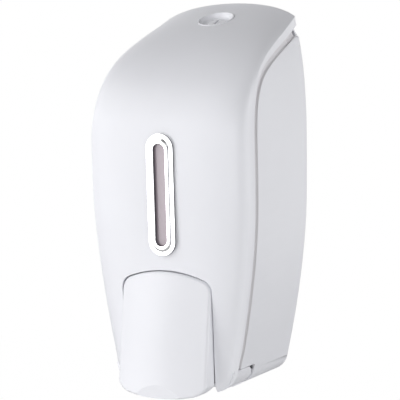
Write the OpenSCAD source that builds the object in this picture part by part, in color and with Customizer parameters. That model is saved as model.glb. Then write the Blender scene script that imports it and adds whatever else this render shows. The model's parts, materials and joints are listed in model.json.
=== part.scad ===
// Wall mounted push-bar soap dispenser: rear housing, tip-forward front cover, reservoir and piston pump.
// Millimetres. X runs across, -Y is the front, +Z is up. The working origin of every module is the foot of
// the housing in the wall plane; at_mount() then moves it to the centre of the wall-screw pattern.

/* [Housing] */
// Overall width at the widest height
body_w = 108; // [100:1:116]
// Overall height of housing and cover
body_h = 240; // [232:1:250]
// Depth of the front cover from the wall
body_d = 100; // [96:1:108]
// Wall of the housing and the cover
wall = 2.5; // [2:0.1:3]
// Drop of the widest place below the top
belly_drop = 127; // [120:1:135]
// Narrowing of each side from the belly to the shoulder
top_narrowing = 7.8; // [5:0.5:12]
// Narrowing of each side from the belly to the foot
foot_narrowing = 15.4; // [12:0.2:18]
// Drop of the shoulder below the top
shoulder_drop = 15.4; // [12:0.2:17]
// Radius of the long bottom edges
corner_r = 10; // [8:0.5:12]
// Height of the cover's upright skirt at the wall
skirt_h = 6; // [3:0.5:7]

/* [Seam] */
// Distance of the cover's rim behind the nose, at the height where it turns to the shoulder
seam_back = 17.4; // [12:0.2:20]
// How much nearer to the wall the rim is at its foot
seam_lean = 5; // [3:0.5:8]
// Drop below the top of the place where the rim turns to the shoulder
seam_turn_drop = 86; // [75:1:95]
// Height of the rim's curved foot
heel_z = 13; // [10:0.5:16]
// Forward run of the rim's curved foot
heel_run = 8; // [5:0.5:11]
// Width of the shadow groove behind the rim
groove_w = 3.2; // [2:0.1:4]
// Depth of the shadow groove
groove_depth = 1.2; // [0.8:0.1:1.5]
// Gap between the rim and the housing's lip
rim_gap = 0.5; // [0.3:0.1:0.8]

/* [Front profile] */
// Drop below the top of the place where the front stands furthest out
nose_drop = 85; // [75:1:95]
// Distance of the cover's foot behind the nose
chin_back = 9.5; // [6:0.5:14]
// Run of the hood's rear curve handle
hood_run = 18; // [12:1:26]
// Drop of the hood's rear curve handle
hood_drop = 12.3; // [8:0.5:16]
// Height of the hood's front curve handle above the nose
hood_pull = 50.4; // [40:1:60]
// Length of the chin's upper curve handle
chin_pull_top = 29; // [15:1:45]
// Length of the chin's lower curve handle
chin_pull_foot = 46.7; // [30:1:60]

/* [Wall fixing] */
// Distance between the screw columns
fix_x = 60; // [50:1:70]
// Distance between the screw rows
fix_z = 90; // [80:1:96]
// Height of the pattern's centre above the foot
fix_centre_z = 140; // [132:1:144]
// Diameter of the wall-screw holes
fix_d = 5.5; // [4.5:0.1:6.5]

/* [Push bar] */
// Width of the push bar
bar_w = 60; // [54:1:62]
// Height of the arch's crown
bar_top_z = 73; // [70:0.5:76]
// Radius of the arch
bar_arch_r = 70; // [50:1:90]
// Radius of the two top corners
bar_corner_r = 8; // [5:0.5:11]
// Radius of the curved bottom edge
bar_foot_r = 123; // [100:1:160]
// Height of the finger scoop's top above the foot
scoop_top = 5.3; // [3:0.1:8]
// Slope of the finger scoop against the face, in degrees
scoop_tilt = 12.5; // [8:0.5:14]
// How far the bottom edge hangs below the housing in the middle
bar_hang = 3; // [1:0.5:4]
// Radius of the face across the bar
bar_face_r = 83; // [70:1:110]
// How far the face's foot stands in front of the cover's nose
bar_proud = 4.5; // [2:0.5:8]
// Forward lean of the face towards the foot, in degrees
bar_lean = 6.2; // [4:0.2:8]
// Depth of the skirt behind the face's foot
bar_skirt = 14.5; // [12:0.5:15.5]
// Wall of the push bar
bar_wall = 2.4; // [2:0.1:3]
// Gap around the bar in the cover's opening
bar_gap = 1.4; // [1:0.1:1.8]
// Distance of the bar's pivot behind the face's foot
bar_pivot_back = 18.5; // [17:0.5:20]
// Height of the bar's pivot
bar_pivot_z = 62; // [58:0.5:64]

/* [Window] */
// Width of the window bezel
bezel_w = 19; // [16:0.5:22]
// Height of the window bezel
bezel_h = 75; // [66:1:78]
// Rise of the bezel's foot above the push bar's crown
window_rise = 9.5; // [7:0.5:14]
// How far the bezel stands proud of the cover
bezel_proud = 1.4; // [1:0.1:2]
// Width of the rim that hides the slot's edge
bezel_flange = 2.7; // [2:0.1:3.2]
// Wall of the bezel's sleeve
sleeve_wall = 2.2; // [1.8:0.1:2.6]
// Depth of the sleeve behind the bezel's face
sleeve_depth = 8; // [7:0.5:10]
// Depth of the lens below the bezel's face
lens_recess = 2.6; // [2:0.1:3.5]
// Thickness of the lens
lens_t = 1.8; // [1.2:0.1:2.2]

/* [Lock] */
// Place of the lock along the hood, 0 at the wall and 1 at the nose
lock_at = 0.25; // [0.23:0.01:0.27]
// Radius of the lock's cup
cup_r = 12; // [11:0.5:13]
// Radius of the lock's threaded tube
tube_r = 8.5; // [8:0.25:9]
// Length of the lock below the hood's surface
lock_len = 15; // [14:0.5:16]
// Radius of the lock barrel
barrel_r = 6; // [5:0.25:6.5]
// Reach of the cam from the lock's axis
cam_reach = 14.5; // [13.5:0.25:15]
// Thickness of the cam
cam_t = 1.8; // [1.2:0.1:2.2]

/* [Cover hinge] */
// Depth of the hinge axis from the wall
hinge_d = 60; // [57:0.5:64]
// Height of the hinge axis
hinge_z = 6.5; // [6:0.1:7]
// Diameter of the hinge pins
hinge_pin_d = 4; // [3:0.25:4.5]
// Thickness of the housing's hinge lugs
lug_t = 4.5; // [3.5:0.25:5.5]
// Inset of the cover's hinge ears below the outer surface
ear_inset = 0.9; // [0.5:0.1:1.2]
// Radius of the ears' rounded end
ear_r = 6; // [5.5:0.1:6.4]

/* [Reservoir] */
// Gap between the reservoir's foot and the housing's sides
tank_side_gap = 2.6; // [1.5:0.1:6]
// Gap between the reservoir's front and the push bar's ears
tank_front_gap = 3.5; // [2.5:0.5:7]
// Drop of the reservoir's flat top below the housing's
tank_drop = 54; // [52:1:62]
// Wall of the reservoir
tank_wall = 1.8; // [1.4:0.1:2.2]
// Radius of the reservoir's upright corners
tank_r = 12; // [8:0.5:16]
// Radius of the filler neck
neck_r = 19; // [16:0.5:20]
// Height of the filler neck
neck_h = 6; // [5:0.5:7]

/* [Pump] */
// Height of the pump's axis
pump_z = 22; // [21.5:0.1:22.5]
// Radius of the pump's bore
pump_bore_r = 8; // [7:0.25:8.25]
// Wall of the pump body
pump_wall = 3; // [2.5:0.1:3.2]
// Depth of the pump's inlet and nozzle from the wall
port_d = 51; // [50:0.5:52]
// Stroke of the piston
stroke = 8.6; // [6:0.1:8.8]
// Radius of the piston rod
rod_r = 4; // [3:0.25:4.5]
// Wire diameter of the return spring
spring_wire = 0.9; // [0.7:0.05:1.1]
// Turns of the return spring
spring_turns = 6; // [4:1:7]
// Radius of the inlet valve's ball
ball_r = 3; // [2.6:0.1:3.2]
// How far the nozzle reaches below the housing
nozzle_hang = 3; // [1:0.5:4]

/* [Bracket] */
// Height of the bracket's shelf, underside
shelf_z = 40; // [39.5:0.1:40.5]
// Thickness of the bracket's shelf and flange
bracket_t = 3; // [2.5:0.1:3.5]

/* [Clearances] */
// Gap at a seat between separate pieces
seat_gap = 0.3; // [0.2:0.05:0.4]
// Radial clearance of a running fit
run_gap = 0.05; // [0.03:0.01:0.08]
// Gap beside a part that swings
swing_gap = 0.8; // [0.5:0.1:1]

/* [Hidden] */
$fn = 64;

eps = 0.01;
through = 200;                                // longer than any cut needs
shoulder_z = body_h - shoulder_drop;
belly_z = body_h - belly_drop;
seam_turn_z = body_h - seam_turn_drop;
nose_z = body_h - nose_drop;
window_z = bar_top_z + window_rise + bezel_h / 2;
seam_d = body_d - seam_back;
chin_d = body_d - chin_back;
bar_face_d = body_d + bar_proud;
bar_rim_d = bar_face_d - bar_skirt;
bar_pivot_d = bar_face_d - bar_pivot_back;
bar_ear_r = 4.5;                              // eyes on the bar's axle
top_power = 3.62;                             // how late the sides turn in towards the shoulder
foot_power = 1.67;                            // how early the sides turn in towards the foot
rim_run = 56.2;                                 // handle of the rim's curve at the shoulder
rim_drop = 25.4;
rim_pull = 44.7;                              // handle of the rim's curve above its turn
heel_at = 1.75;                               // place on the rim where the curved foot begins
side_pull = [0.62, 0.89, 0.70];               // roundness of the cross curve at top, nose and foot, across
depth_pull = [0.32, 0.9, 0.71];               // and along its depth
edge_pull = [0.91, 1, 1];                     // how upright it meets the skirt
skirt_from = 0.95;                            // place across the cover where its upright skirt begins
skirt_end = 1;                                // place along the rim where the skirt has faded
skirt_min = 0.8;                              // height of the plain rim below

// ---------- curves of the outer shape ----------
function bezier(p, t) =
  pow(1 - t, 3) * p[0] + 3 * pow(1 - t, 2) * t * p[1] + 3 * (1 - t) * t * t * p[2] + pow(t, 3) * p[3];
function bend3(values, u) = u < 1
  ? values[0] + (values[1] - values[0]) * u
  : values[1] + (values[2] - values[1]) * (u - 1);

// Half the width at height z, with the long bottom edge rounded
function half_w(z) =
  let (up = max(0, (z - belly_z) / (shoulder_z - belly_z)),
       down = max(0, (belly_z - z) / belly_z),
       low = max(0, corner_r - max(0, z)))
  body_w / 2 - top_narrowing * pow(up, top_power) - foot_narrowing * pow(down, foot_power)
    - corner_r + sqrt(corner_r * corner_r - low * low);

// Centre line of the front, [y, z], for u from 0 at the wall over the nose at 1 to the chin at 2
function centre_at(u) = u <= 1
  ? bezier([[0, body_h], [-hood_run, body_h - hood_drop], [-body_d, nose_z + hood_pull], [-body_d, nose_z]],
           u)
  : bezier([[-body_d, nose_z], [-body_d, nose_z - chin_pull_top], [-chin_d, chin_pull_foot], [-chin_d, 0]],
           u - 1);

// Rim of the cover, [y, z], over the same u
function rim_at(u) =
  let (s = (u - heel_at) / (2 - heel_at) * 90, fall = (u - 1) / (heel_at - 1))
  u <= 1 ? bezier([[0, shoulder_z], [-rim_run, shoulder_z - rim_drop], [-seam_d, seam_turn_z + rim_pull],
                   [-seam_d, seam_turn_z]], u)
  : u <= heel_at ? [-seam_d + seam_lean * fall, seam_turn_z + (heel_z - seam_turn_z) * fall]
  : [-seam_d + seam_lean - heel_run * (1 - cos(s)), heel_z * (1 - sin(s))];

// Direction from the rim into the housing, in [y, z]
function rim_inward(u) =
  let (e = 0.001, t = rim_at(min(2, u + e)) - rim_at(max(0, u - e))) [-t[1], t[0]] / norm(t);

// Height of the upright skirt along the rim
function skirt_at(u) = skirt_min + (skirt_h - skirt_min) * max(0, 1 - u / skirt_end);

// A point of the outer surface, for u as above and v from -1 at the left rim to 1 at the right rim
function skin(u, v) =
  let (c = centre_at(u), m = rim_inward(u), h = skirt_at(u), r = rim_at(u) - h * m,
       a = min(1, abs(v) / skirt_from), fall = h * max(0, abs(v) - skirt_from) / (1 - skirt_from),
       k = 3 * (1 - a) * a * a,
       x = half_w(rim_at(u)[1])
         * (3 * pow(1 - a, 2) * a * bend3(side_pull, u) + k * bend3(edge_pull, u) + pow(a, 3)),
       s = k * (1 - bend3(depth_pull, u)) + pow(a, 3))
  [sign(v) * x, c[0] + (r[0] - c[0]) * s + fall * m[0], c[1] + (r[1] - c[1]) * s + fall * m[1]];

// Unit normal of the outer surface, pointing out
function skin_normal(u, v) =
  let (e = 0.002,
       du = skin(min(2, u + e), v) - skin(max(0, u - e), v),
       dv = skin(u, min(1, v + e)) - skin(u, max(-1, v - e)),
       n = cross(dv, du))
  -n / norm(n);

// Side outline of the housing at height z, moved inwards by d: [x, z]
function side_at(z, d) =
  let (e = 0.02, low = max(0, z - e), slope = (half_w(low + 2 * e) - half_w(low)) / (2 * e))
  [half_w(z), z] + d * [-1, slope] / norm([1, slope]);

// The skin's point sunk by d below the surface, kept in front of the rim and of the wall plane
function sunk(u, v, d) =
  let (p = skin(u, v) - d * skin_normal(u, v), r = rim_at(u), m = rim_inward(u),
       past = max(0, [p[1] - r[0], p[2] - r[1]] * m))
  [p[0], min(0, p[1] - past * m[0]), p[2] - past * m[1]];

// ---------- places worked out from the sizes ----------
function centre_tangent(u) = let (t = centre_at(u + 0.001) - centre_at(u - 0.001)) t / norm(t);
lock_pt = centre_at(lock_at);
lock_tilt = atan2(-centre_tangent(lock_at)[1], -centre_tangent(lock_at)[0]);
// [y, z] of a point t towards the wall and h above the hood, along the lock's own directions
function by_lock(t, h) =
  lock_pt + t * [cos(lock_tilt), sin(lock_tilt)] + h * [-sin(lock_tilt), cos(lock_tilt)];

// Place across the cover at which row u is x from the middle
function across(u, x, lo = 0, hi = 1) =
  let (mid = (lo + hi) / 2)
  hi - lo < 0.001 ? mid : skin(u, mid)[0] < x ? across(u, x, mid, hi) : across(u, x, lo, mid);
// Depth of the cover's surface at x from the middle and height z
function surface_d(x, z, lo = 0.5, hi = 2) =
  let (mid = (lo + hi) / 2, p = skin(mid, across(mid, x)))
  hi - lo < 0.001 ? -p[1] : p[2] > z ? surface_d(x, z, mid, hi) : surface_d(x, z, lo, mid);
window_top_d = surface_d(0, window_z + bezel_h / 2);
window_foot_d = surface_d(0, window_z - bezel_h / 2);
window_lean = atan2(window_top_d - window_foot_d, bezel_h);
window_y = -surface_d(0, window_z);
frame_edge = 1.5;                             // the retaining frame outside the bezel, all round
frame_x = bezel_w / 2 + frame_edge;
// How far the cover's surface lies behind the window's plane, at x and at t along the plane
function behind_window(x, t) =
  let (z = window_z + t * cos(window_lean))
  (-surface_d(x, z) - window_y) * cos(window_lean) + (z - window_z) * sin(window_lean);
window_sags = concat([for (x = [0, frame_x], t = [-1 : 0.5 : 1])
                        behind_window(x, t * (bezel_h - bezel_w) / 2)],
                     [for (t = [-1, 1]) behind_window(0, t * (bezel_h / 2 + frame_edge))]);
window_lift = max(0, -min(window_sags));      // sets the bezel in front of the surface's highest point
window_sag = max(window_sags) + window_lift;
frame_gap = 0.5;                              // between the retaining frame and the cover's curved wall
frame_t = 1.8;

floor_front = -(seam_d - 12.6);               // the floor ends here, behind the swinging bar
notch_back = -hinge_d + ear_r + swing_gap;    // rear end of the hinge notches
notch_top = 2 * hinge_z + 0.4;
lug_inset = 11.4;
lug_x0 = half_w(hinge_z) - lug_inset;         // inner face of the housing's hinge lugs
ear_x0 = lug_x0 + lug_t + seat_gap;           // inner face of the cover's hinge ears
pin_x0 = lug_x0 - 1.5;
pin_x1 = ear_x0 + 3.2;

shelf_top = shelf_z + bracket_t;
tank_floor = shelf_top + seat_gap;
tank_w = 2 * (half_w(tank_floor) - wall - tank_side_gap);
tank_d = bar_pivot_d - bar_ear_r - tank_front_gap;
tank_top_z = body_h - tank_drop;
tank_back = 6;
rail_d = tank_back - seat_gap;
rail_x = 17;
rail_inset = 10;                              // of the rails' ends from the reservoir's
pump_back_d = 44;
chamber_back_d = pump_back_d + 2;
pump_r = pump_bore_r + pump_wall;
cap_spigot = 3;
cap_t = 3;
head_t = 6;
head_r = 8;
head_dome_r = 14;
head_stop = 0.7;                              // from the head to the cap at the end of the stroke
post_len = 5.3;                               // from the pusher pad to the face's foot, inside
pad_t = 1.2;
pad_d = bar_face_d - bar_wall - post_len - pad_t;
head_front_d = pad_d - seat_gap;
head_back_d = head_front_d - head_t;
pump_front_d = head_back_d - head_stop - stroke - cap_t;
piston_len = 9.2;
piston_front_d = pump_front_d - cap_spigot - seat_gap;
piston_back_d = piston_front_d - piston_len;  // rear face of the resting piston
neck_bore_r = 6.5;                            // socket of the pump's inlet neck
ball_hole_r = 2.2;
ball_seat_r = 2.4;
ball_floor_z = pump_z + pump_bore_r + 1.6;
ball_z = ball_floor_z + sqrt(ball_r * ball_r - ball_hole_r * ball_hole_r) + run_gap;
ball_travel = 1.3;
inlet_seat_z = ball_z + ball_travel + sqrt(ball_r * ball_r - ball_seat_r * ball_seat_r) + run_gap;
spigot_r = 5;
inlet_seat_t = 1.4;
spigot_tip_z = inlet_seat_z + inlet_seat_t + seat_gap;
outlet_tip_z = 7;
spout_r = 6.5;
neck_y = -(tank_back + neck_r + 3);
neck_top_z = tank_top_z + neck_h;

white = [0.93, 0.94, 0.95];
warm_white = [0.88, 0.89, 0.9];
steel = [0.72, 0.73, 0.75];
chrome = [0.85, 0.87, 0.9];
milky = [0.85, 0.88, 0.9, 0.7];
smoke = [0.74, 0.7, 0.73, 0.5];
rubber = [0.13, 0.13, 0.14];
acetal = [0.25, 0.27, 0.3];

// ---------- helpers ----------
module at_mount() {
  translate([0, 0, -fix_centre_z]) children();
}

// A solid of revolution along Y, drawn as [radius, depth from the wall]
module along_y(z) {
  translate([0, 0, z]) rotate([90, 0, 0]) rotate_extrude() children();
}

module cylinder_x(x0, x1, r) {
  translate([x0, 0, 0]) rotate([0, 90, 0]) cylinder(r = r, h = x1 - x0);
}

module cylinder_y(d0, d1, r) {
  translate([0, -d0, 0]) rotate([90, 0, 0]) cylinder(r = r, h = d1 - d0);
}

// An outline drawn as [y, z], spread from x0 to x1
module slab_x(x0, x1) {
  translate([x0, 0, 0]) rotate([90, 0, 90]) linear_extrude(x1 - x0) children();
}

// An outline drawn as [x, z], spread from depth d0 to depth d1
module slab_y(d0, d1) {
  translate([0, -d0, 0]) rotate([90, 0, 0]) linear_extrude(d1 - d0) children();
}

module both_sides() {
  children();
  mirror([1, 0, 0]) children();
}

module rounded_rect(x0, x1, y0, y1, r) {
  translate([x0 + r, y0]) square([x1 - x0 - 2 * r, y1 - y0]);
  translate([x0, y0 + r]) square([x1 - x0, y1 - y0 - 2 * r]);
  for (x = [x0 + r, x1 - r], y = [y0 + r, y1 - r]) translate([x, y]) circle(r);
}

// Upright slot with round ends, centred on the origin
module stadium(w, h) {
  translate([-w / 2, -(h - w) / 2]) square([w, h - w]);
  for (s = [-1, 1]) translate([0, s * (h - w) / 2]) circle(w / 2);
}

// Ring of round section, along Z
module o_ring(centre_r, section_r) {
  rotate_extrude() translate([centre_r, 0]) circle(section_r, $fn = 32);
}

module pan_screw_y(shank_r, shank_len, head_r, head_h) {
  cylinder_y(-shank_len, 0, shank_r);
  difference() {
    cylinder_y(0, head_h, head_r);
    slab_y(head_h / 2, head_h + eps) square([0.9, 2 * head_r * 0.7], center = true);
    slab_y(head_h / 2, head_h + eps) square([2 * head_r * 0.7, 0.9], center = true);
  }
}

// Closed skin through rings of points, each ring in the same order. Both ends are closed by fans from the
// ring's third point.
module swept(rings) {
  n = len(rings[0]);
  m = len(rings);
  last = (m - 1) * n;
  polyhedron(
    points = [for (ring = rings) each ring],
    faces = concat(
      [for (j = [1 : n - 2]) let (a = (2 + j) % n, b = (3 + j) % n) [2, a, b]],
      [for (j = [1 : n - 2]) let (a = (2 + j) % n, b = (3 + j) % n) [last + 2, last + b, last + a]],
      [for (i = [0 : m - 2], j = [0 : n - 1], k = [0, 1]) let (a = i * n + j, b = i * n + (j + 1) % n)
        k == 0 ? [a, a + n, b] : [b, a + n, b + n]]));
}

module at_lock() {
  translate([0, lock_pt[0], lock_pt[1]]) rotate([lock_tilt, 0, 0]) children();
}

module at_window() {
  translate([0, window_y - window_lift, window_z]) rotate([window_lean, 0, 0]) children();
}

module at_bar_pivot() {
  translate([0, -bar_pivot_d, bar_pivot_z]) children();
}

// ---------- rear housing ----------
wall_steps = 24;
foot_steps = 8;
wall_start = 0.1;                             // place on the rim where the side walls begin

// Front edges of the wall, [groove edge, lip] as [y, z], at u on the rim
function wall_front(u) = let (m = rim_inward(u)) [rim_at(u) + groove_w * m, rim_at(u) + rim_gap * m];
wall_foot = wall_front(heel_at);
wall_fronts = concat(
  [for (i = [0 : wall_steps]) wall_front(wall_start + (heel_at - wall_start) * i / wall_steps)],
  [for (i = [1 : foot_steps]) let (k = 1 - sin(90 * i / foot_steps)) [for (p = wall_foot) [p[0], p[1] * k]]]);

// Section of the side wall: outer back, groove edge, groove floor, lip, inner front, inner back
function wall_ring(front, side) =
  let (q = front[0], g = front[1], qy = min(-wall - 1, q[0]), gy = min(-wall - 1, g[0]),
       a = side_at(q[1], 0), c = side_at(q[1], groove_depth), d = side_at(g[1], groove_depth),
       e = side_at(g[1], wall), f = side_at(q[1], wall))
  [for (p = [[a, 0], [a, qy], [c, qy], [d, gy], [e, gy], [f, 0]]) [side * p[0][0], p[1], p[0][1]]];

module housing_walls() {
  swept(concat([for (front = wall_fronts) wall_ring(front, 1)],
    [for (i = [len(wall_fronts) - 1 : -1 : 0]) wall_ring(wall_fronts[i], -1)]));
}

// Point of the hood's rear edge at v, moved inwards by d in the wall plane
function crown_at(v, d) =
  let (p = skin(0, v), n = skin_normal(0, v)) [p[0], p[2]] - d * [n[0], n[2]] / norm([n[0], n[2]]);

// Back plate outline, just inside the side walls, with its crown under the hood
module back_outline() {
  inset = 0.4;
  crown_gap = 3.3;
  crown_reach = 0.9;
  zs = [for (i = [0 : 8]) corner_r * (1 - cos(i * 90 / 8)) * 0.999 + inset,
        for (i = [1 : 16]) corner_r + inset + (shoulder_z - corner_r - 8) * i / 16];
  right = [for (z = zs) side_at(z, inset)];
  crown = [for (i = [9 : -1 : -9]) crown_at(sin(i * 10) * crown_reach, wall + crown_gap)];
  polygon(concat(right, crown, [for (i = [len(right) - 1 : -1 : 0]) [-right[i][0], right[i][1]]]));
}

module fixing_places() {
  for (x = [-1, 1], z = [-1, 1]) translate([x * fix_x / 2, 0, fix_centre_z + z * fix_z / 2]) children();
}

module hinge_lug() {
  difference() {
    union() {
      translate([lug_x0, -hinge_d - ear_r, 0.4]) cube([lug_t, 2 * ear_r, hinge_z - 0.4]);
      translate([0, -hinge_d, hinge_z]) cylinder_x(lug_x0, lug_x0 + lug_t, ear_r);
    }
    translate([0, -hinge_d, hinge_z]) cylinder_x(lug_x0 - 1, lug_x0 + lug_t + 1, hinge_pin_d / 2);
  }
}

module rear_housing() {
  color(white) at_mount() {
    difference() {
      union() {
        housing_walls();
        slab_y(0, wall) back_outline();
        // Rails that carry the reservoir's back
        both_sides() translate([rail_x, -rail_d, tank_floor + rail_inset])
          cube([3, rail_d - eps, tank_top_z - tank_floor - 2 * rail_inset]);
      }
      fixing_places() cylinder_y(-1, wall + 1, fix_d / 2);
      // Bay for the swinging push bar
      translate([-bar_w / 2 - bar_gap - 1.5, floor_front - 60, -1])
        cube([bar_w + 2 * bar_gap + 3, 60, 4 + wall]);
      // Notches for the cover's hinge ears
      both_sides() translate([lug_x0 + lug_t, -through, -1])
        cube([40, through + notch_back, notch_top + 1]);
      // Nozzle hole
      translate([0, -port_d, -1]) cylinder(r = pump_r + 1, h = wall + 3);
      // Pilot holes of the bracket and keeper screws
      bracket_screw_places() cylinder_y(-1, wall + 1, bracket_screw_r + run_gap);
      keeper_screw_place() cylinder_y(-1, wall + 1, keeper_screw_r + run_gap);
    }
    both_sides() hinge_lug();
  }
}

module hinge_pins() {
  color(steel) at_mount() both_sides()
    translate([0, -hinge_d, hinge_z]) cylinder_x(pin_x0, pin_x1, hinge_pin_d / 2 - run_gap);
}

// ---------- lock keeper ----------
keeper_w = 16;
keeper_t = 2;
keeper_screw_r = 1.5;
keeper_screw_z = by_lock(0, 0)[1] + 1.5;
keeper_gap = 0.5;                             // above the cam
keeper_h0 = -lock_len + keeper_gap;
keeper_front_t = tube_r + 1;
keeper_edge = 3.6;                            // plate above the screw's axis

module keeper_screw_place() {
  translate([0, 0, keeper_screw_z]) children();
}

// Length along the lock's slope at which height h meets depth d
function slope_reach(d, h) = (-d - by_lock(0, h)[0]) / cos(lock_tilt);

module lock_keeper() {
  foot_z = by_lock(slope_reach(wall, keeper_h0), keeper_h0)[1];
  color(steel) at_mount() difference() {
    union() {
      translate([-keeper_w / 2, -wall - keeper_t, foot_z])
        cube([keeper_w, keeper_t, keeper_screw_z + keeper_edge - foot_z]);
      slab_x(-keeper_w / 2, keeper_w / 2) polygon([
        by_lock(keeper_front_t, keeper_h0), by_lock(slope_reach(wall, keeper_h0), keeper_h0),
        by_lock(slope_reach(wall, keeper_h0 + keeper_t), keeper_h0 + keeper_t),
        by_lock(keeper_front_t, keeper_h0 + keeper_t)]);
    }
    keeper_screw_place() cylinder_y(wall - 1, wall + keeper_t + 1, keeper_screw_r + run_gap);
  }
}

module keeper_screw() {
  color(steel) at_mount() keeper_screw_place()
    translate([0, -wall - keeper_t, 0]) pan_screw_y(keeper_screw_r, wall + keeper_t - seat_gap, 2.8, 1.8);
}

// ---------- pump bracket ----------
bracket_side_gap = 1.5;
bracket_drop = 24;
bracket_w = 2 * (half_w(shelf_z - bracket_drop) - wall - bracket_side_gap);
bracket_front_d = tank_d - 6;
bracket_screw_r = 2;
bracket_screw_x = 24;
bracket_screw_drop = 12;
bracket_screw_z = shelf_z - bracket_screw_drop;
web_t = 2.5;
pump_screw_x = 17;
pump_screw_r = 1.5;

module bracket_screw_places() {
  for (x = [-1, 1]) translate([x * bracket_screw_x, 0, bracket_screw_z]) children();
}

module pump_screw_places(z) {
  for (x = [-1, 1]) translate([x * pump_screw_x, -port_d, z]) children();
}

module pump_bracket() {
  color(warm_white) at_mount() difference() {
    union() {
      translate([-bracket_w / 2, -bracket_front_d, shelf_z])
        cube([bracket_w, bracket_front_d - wall, bracket_t]);
      translate([-bracket_w / 2, -wall - bracket_t, shelf_z - bracket_drop])
        cube([bracket_w, bracket_t, bracket_drop + eps]);
      both_sides() slab_x(bracket_w / 2 - web_t, bracket_w / 2)
        polygon([[-wall - eps, shelf_z - bracket_drop], [-wall - 8, shelf_z - bracket_drop],
          [-bracket_front_d, shelf_z - 4], [-bracket_front_d, shelf_z + eps], [-wall - eps, shelf_z + eps]]);
    }
    translate([0, -port_d, shelf_z - 1]) cylinder(r = neck_bore_r + 0.8, h = bracket_t + 2);
    bracket_screw_places() cylinder_y(wall - 1, wall + bracket_t + 1, bracket_screw_r + run_gap);
    pump_screw_places(shelf_z - 1) cylinder(r = pump_screw_r + run_gap, h = bracket_t + 2);
  }
}

module bracket_screws() {
  color(steel) at_mount() bracket_screw_places()
    translate([0, -wall - bracket_t, 0]) pan_screw_y(bracket_screw_r, wall + bracket_t - seat_gap, 3.8, 2.2);
}

// ---------- reservoir ----------
tank_chamfer = [26, 20];

module tank_solid(inset, floor_z) {
  intersection() {
    translate([0, 0, floor_z]) linear_extrude(tank_top_z - inset - floor_z)
      rounded_rect(-tank_w / 2 + inset, tank_w / 2 - inset, -tank_d + inset, -tank_back - inset,
                   tank_r - inset);
    slab_x(-tank_w, tank_w) polygon([[0, floor_z], [-tank_d - 1, floor_z],
      [-tank_d - 1, tank_top_z - inset - tank_chamfer[1] * (1 + 1 / tank_chamfer[0])],
      [-tank_d + tank_chamfer[0], tank_top_z - inset], [0, tank_top_z - inset]]);
  }
}

module reservoir() {
  color(milky) at_mount() difference() {
    union() {
      tank_solid(0, tank_floor);
      translate([0, neck_y, tank_top_z - 1]) cylinder(r = neck_r, h = neck_h + 1);
      translate([0, -port_d, spigot_tip_z]) cylinder(r = spigot_r, h = tank_floor - spigot_tip_z + 1);
    }
    tank_solid(tank_wall, tank_floor + tank_wall);
    translate([0, neck_y, tank_top_z - tank_wall - 1])
      cylinder(r = neck_r - tank_wall, h = neck_h + tank_wall + 2);
    translate([0, -port_d, spigot_tip_z - 1])
      cylinder(r = spigot_r - 1.6, h = tank_floor - spigot_tip_z + tank_wall + 2);
  }
}

module outlet_seal() {
  section = (neck_bore_r - spigot_r) / 2 - run_gap / 2;
  color(rubber) at_mount() translate([0, -port_d, spigot_tip_z + section])
    o_ring((spigot_r + neck_bore_r) / 2, section);
}

plug_depth = 5;
plug_gap = 0.8;
lid_t = 2.2;

module reservoir_lid() {
  plug_r = neck_r - tank_wall - plug_gap;
  color(warm_white) at_mount() translate([0, neck_y, neck_top_z + seat_gap]) {
    rotate_extrude() polygon([[0, 0], [plug_r - 2, 0], [plug_r - 2, -plug_depth], [plug_r, -plug_depth],
      [plug_r, 0], [neck_r + 2, 0], [neck_r + 2, lid_t], [0, lid_t]]);
    translate([-8, -1.5, lid_t - eps]) cube([16, 3, 4]);
  }
}

module lid_gasket() {
  section = plug_gap / 2 - run_gap / 2;
  color(rubber) at_mount() translate([0, neck_y, neck_top_z + seat_gap - plug_depth / 2])
    o_ring(neck_r - tank_wall - plug_gap / 2, section);
}

// ---------- pump ----------
pump_flange_t = 3;

module pump_body() {
  color(warm_white) at_mount() difference() {
    union() {
      translate([0, 0, pump_z]) cylinder_y(pump_back_d, pump_front_d, pump_r);
      translate([0, -port_d, pump_z]) cylinder(r = neck_bore_r + 2, h = shelf_z - pump_z);
      translate([0, -port_d, shelf_z - pump_flange_t]) linear_extrude(pump_flange_t) {
        square([2 * pump_screw_x, 8], center = true);
        for (x = [-1, 1]) translate([x * pump_screw_x, 0]) circle(4);
      }
      translate([0, -port_d, outlet_tip_z]) cylinder(r = spout_r, h = pump_z - outlet_tip_z);
    }
    translate([0, 0, pump_z]) cylinder_y(chamber_back_d, pump_front_d + 1, pump_bore_r);
    translate([0, -port_d, inlet_seat_z - run_gap]) cylinder(r = neck_bore_r, h = shelf_z - inlet_seat_z + 1);
    translate([0, -port_d, ball_floor_z]) cylinder(r = ball_r + 0.4, h = inlet_seat_z - ball_floor_z);
    translate([0, -port_d, pump_z]) cylinder(r = ball_hole_r, h = ball_floor_z - pump_z + eps);
    translate([-ball_r, -port_d - 0.8, pump_z]) cube([2 * ball_r, 1.6, ball_floor_z - pump_z + eps]);
    translate([0, -port_d, outlet_tip_z - 1]) cylinder(r = 2.6, h = pump_z - outlet_tip_z);
    pump_screw_places(shelf_z - pump_flange_t - 1)
      cylinder(r = pump_screw_r + run_gap, h = pump_flange_t + 2);
  }
}

module pump_screws() {
  color(steel) at_mount() pump_screw_places(shelf_z - pump_flange_t) rotate([90, 0, 0])
    pan_screw_y(pump_screw_r, pump_flange_t + bracket_t - seat_gap, 2.8, 1.8);
}

module pump_cap() {
  color(warm_white) at_mount() along_y(pump_z) polygon([
    [rod_r + 0.1, pump_front_d - cap_spigot], [pump_bore_r - run_gap, pump_front_d - cap_spigot],
    [pump_bore_r - run_gap, pump_front_d], [pump_r, pump_front_d], [pump_r, pump_front_d + cap_t],
    [rod_r + 0.1, pump_front_d + cap_t]]);
}

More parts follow.
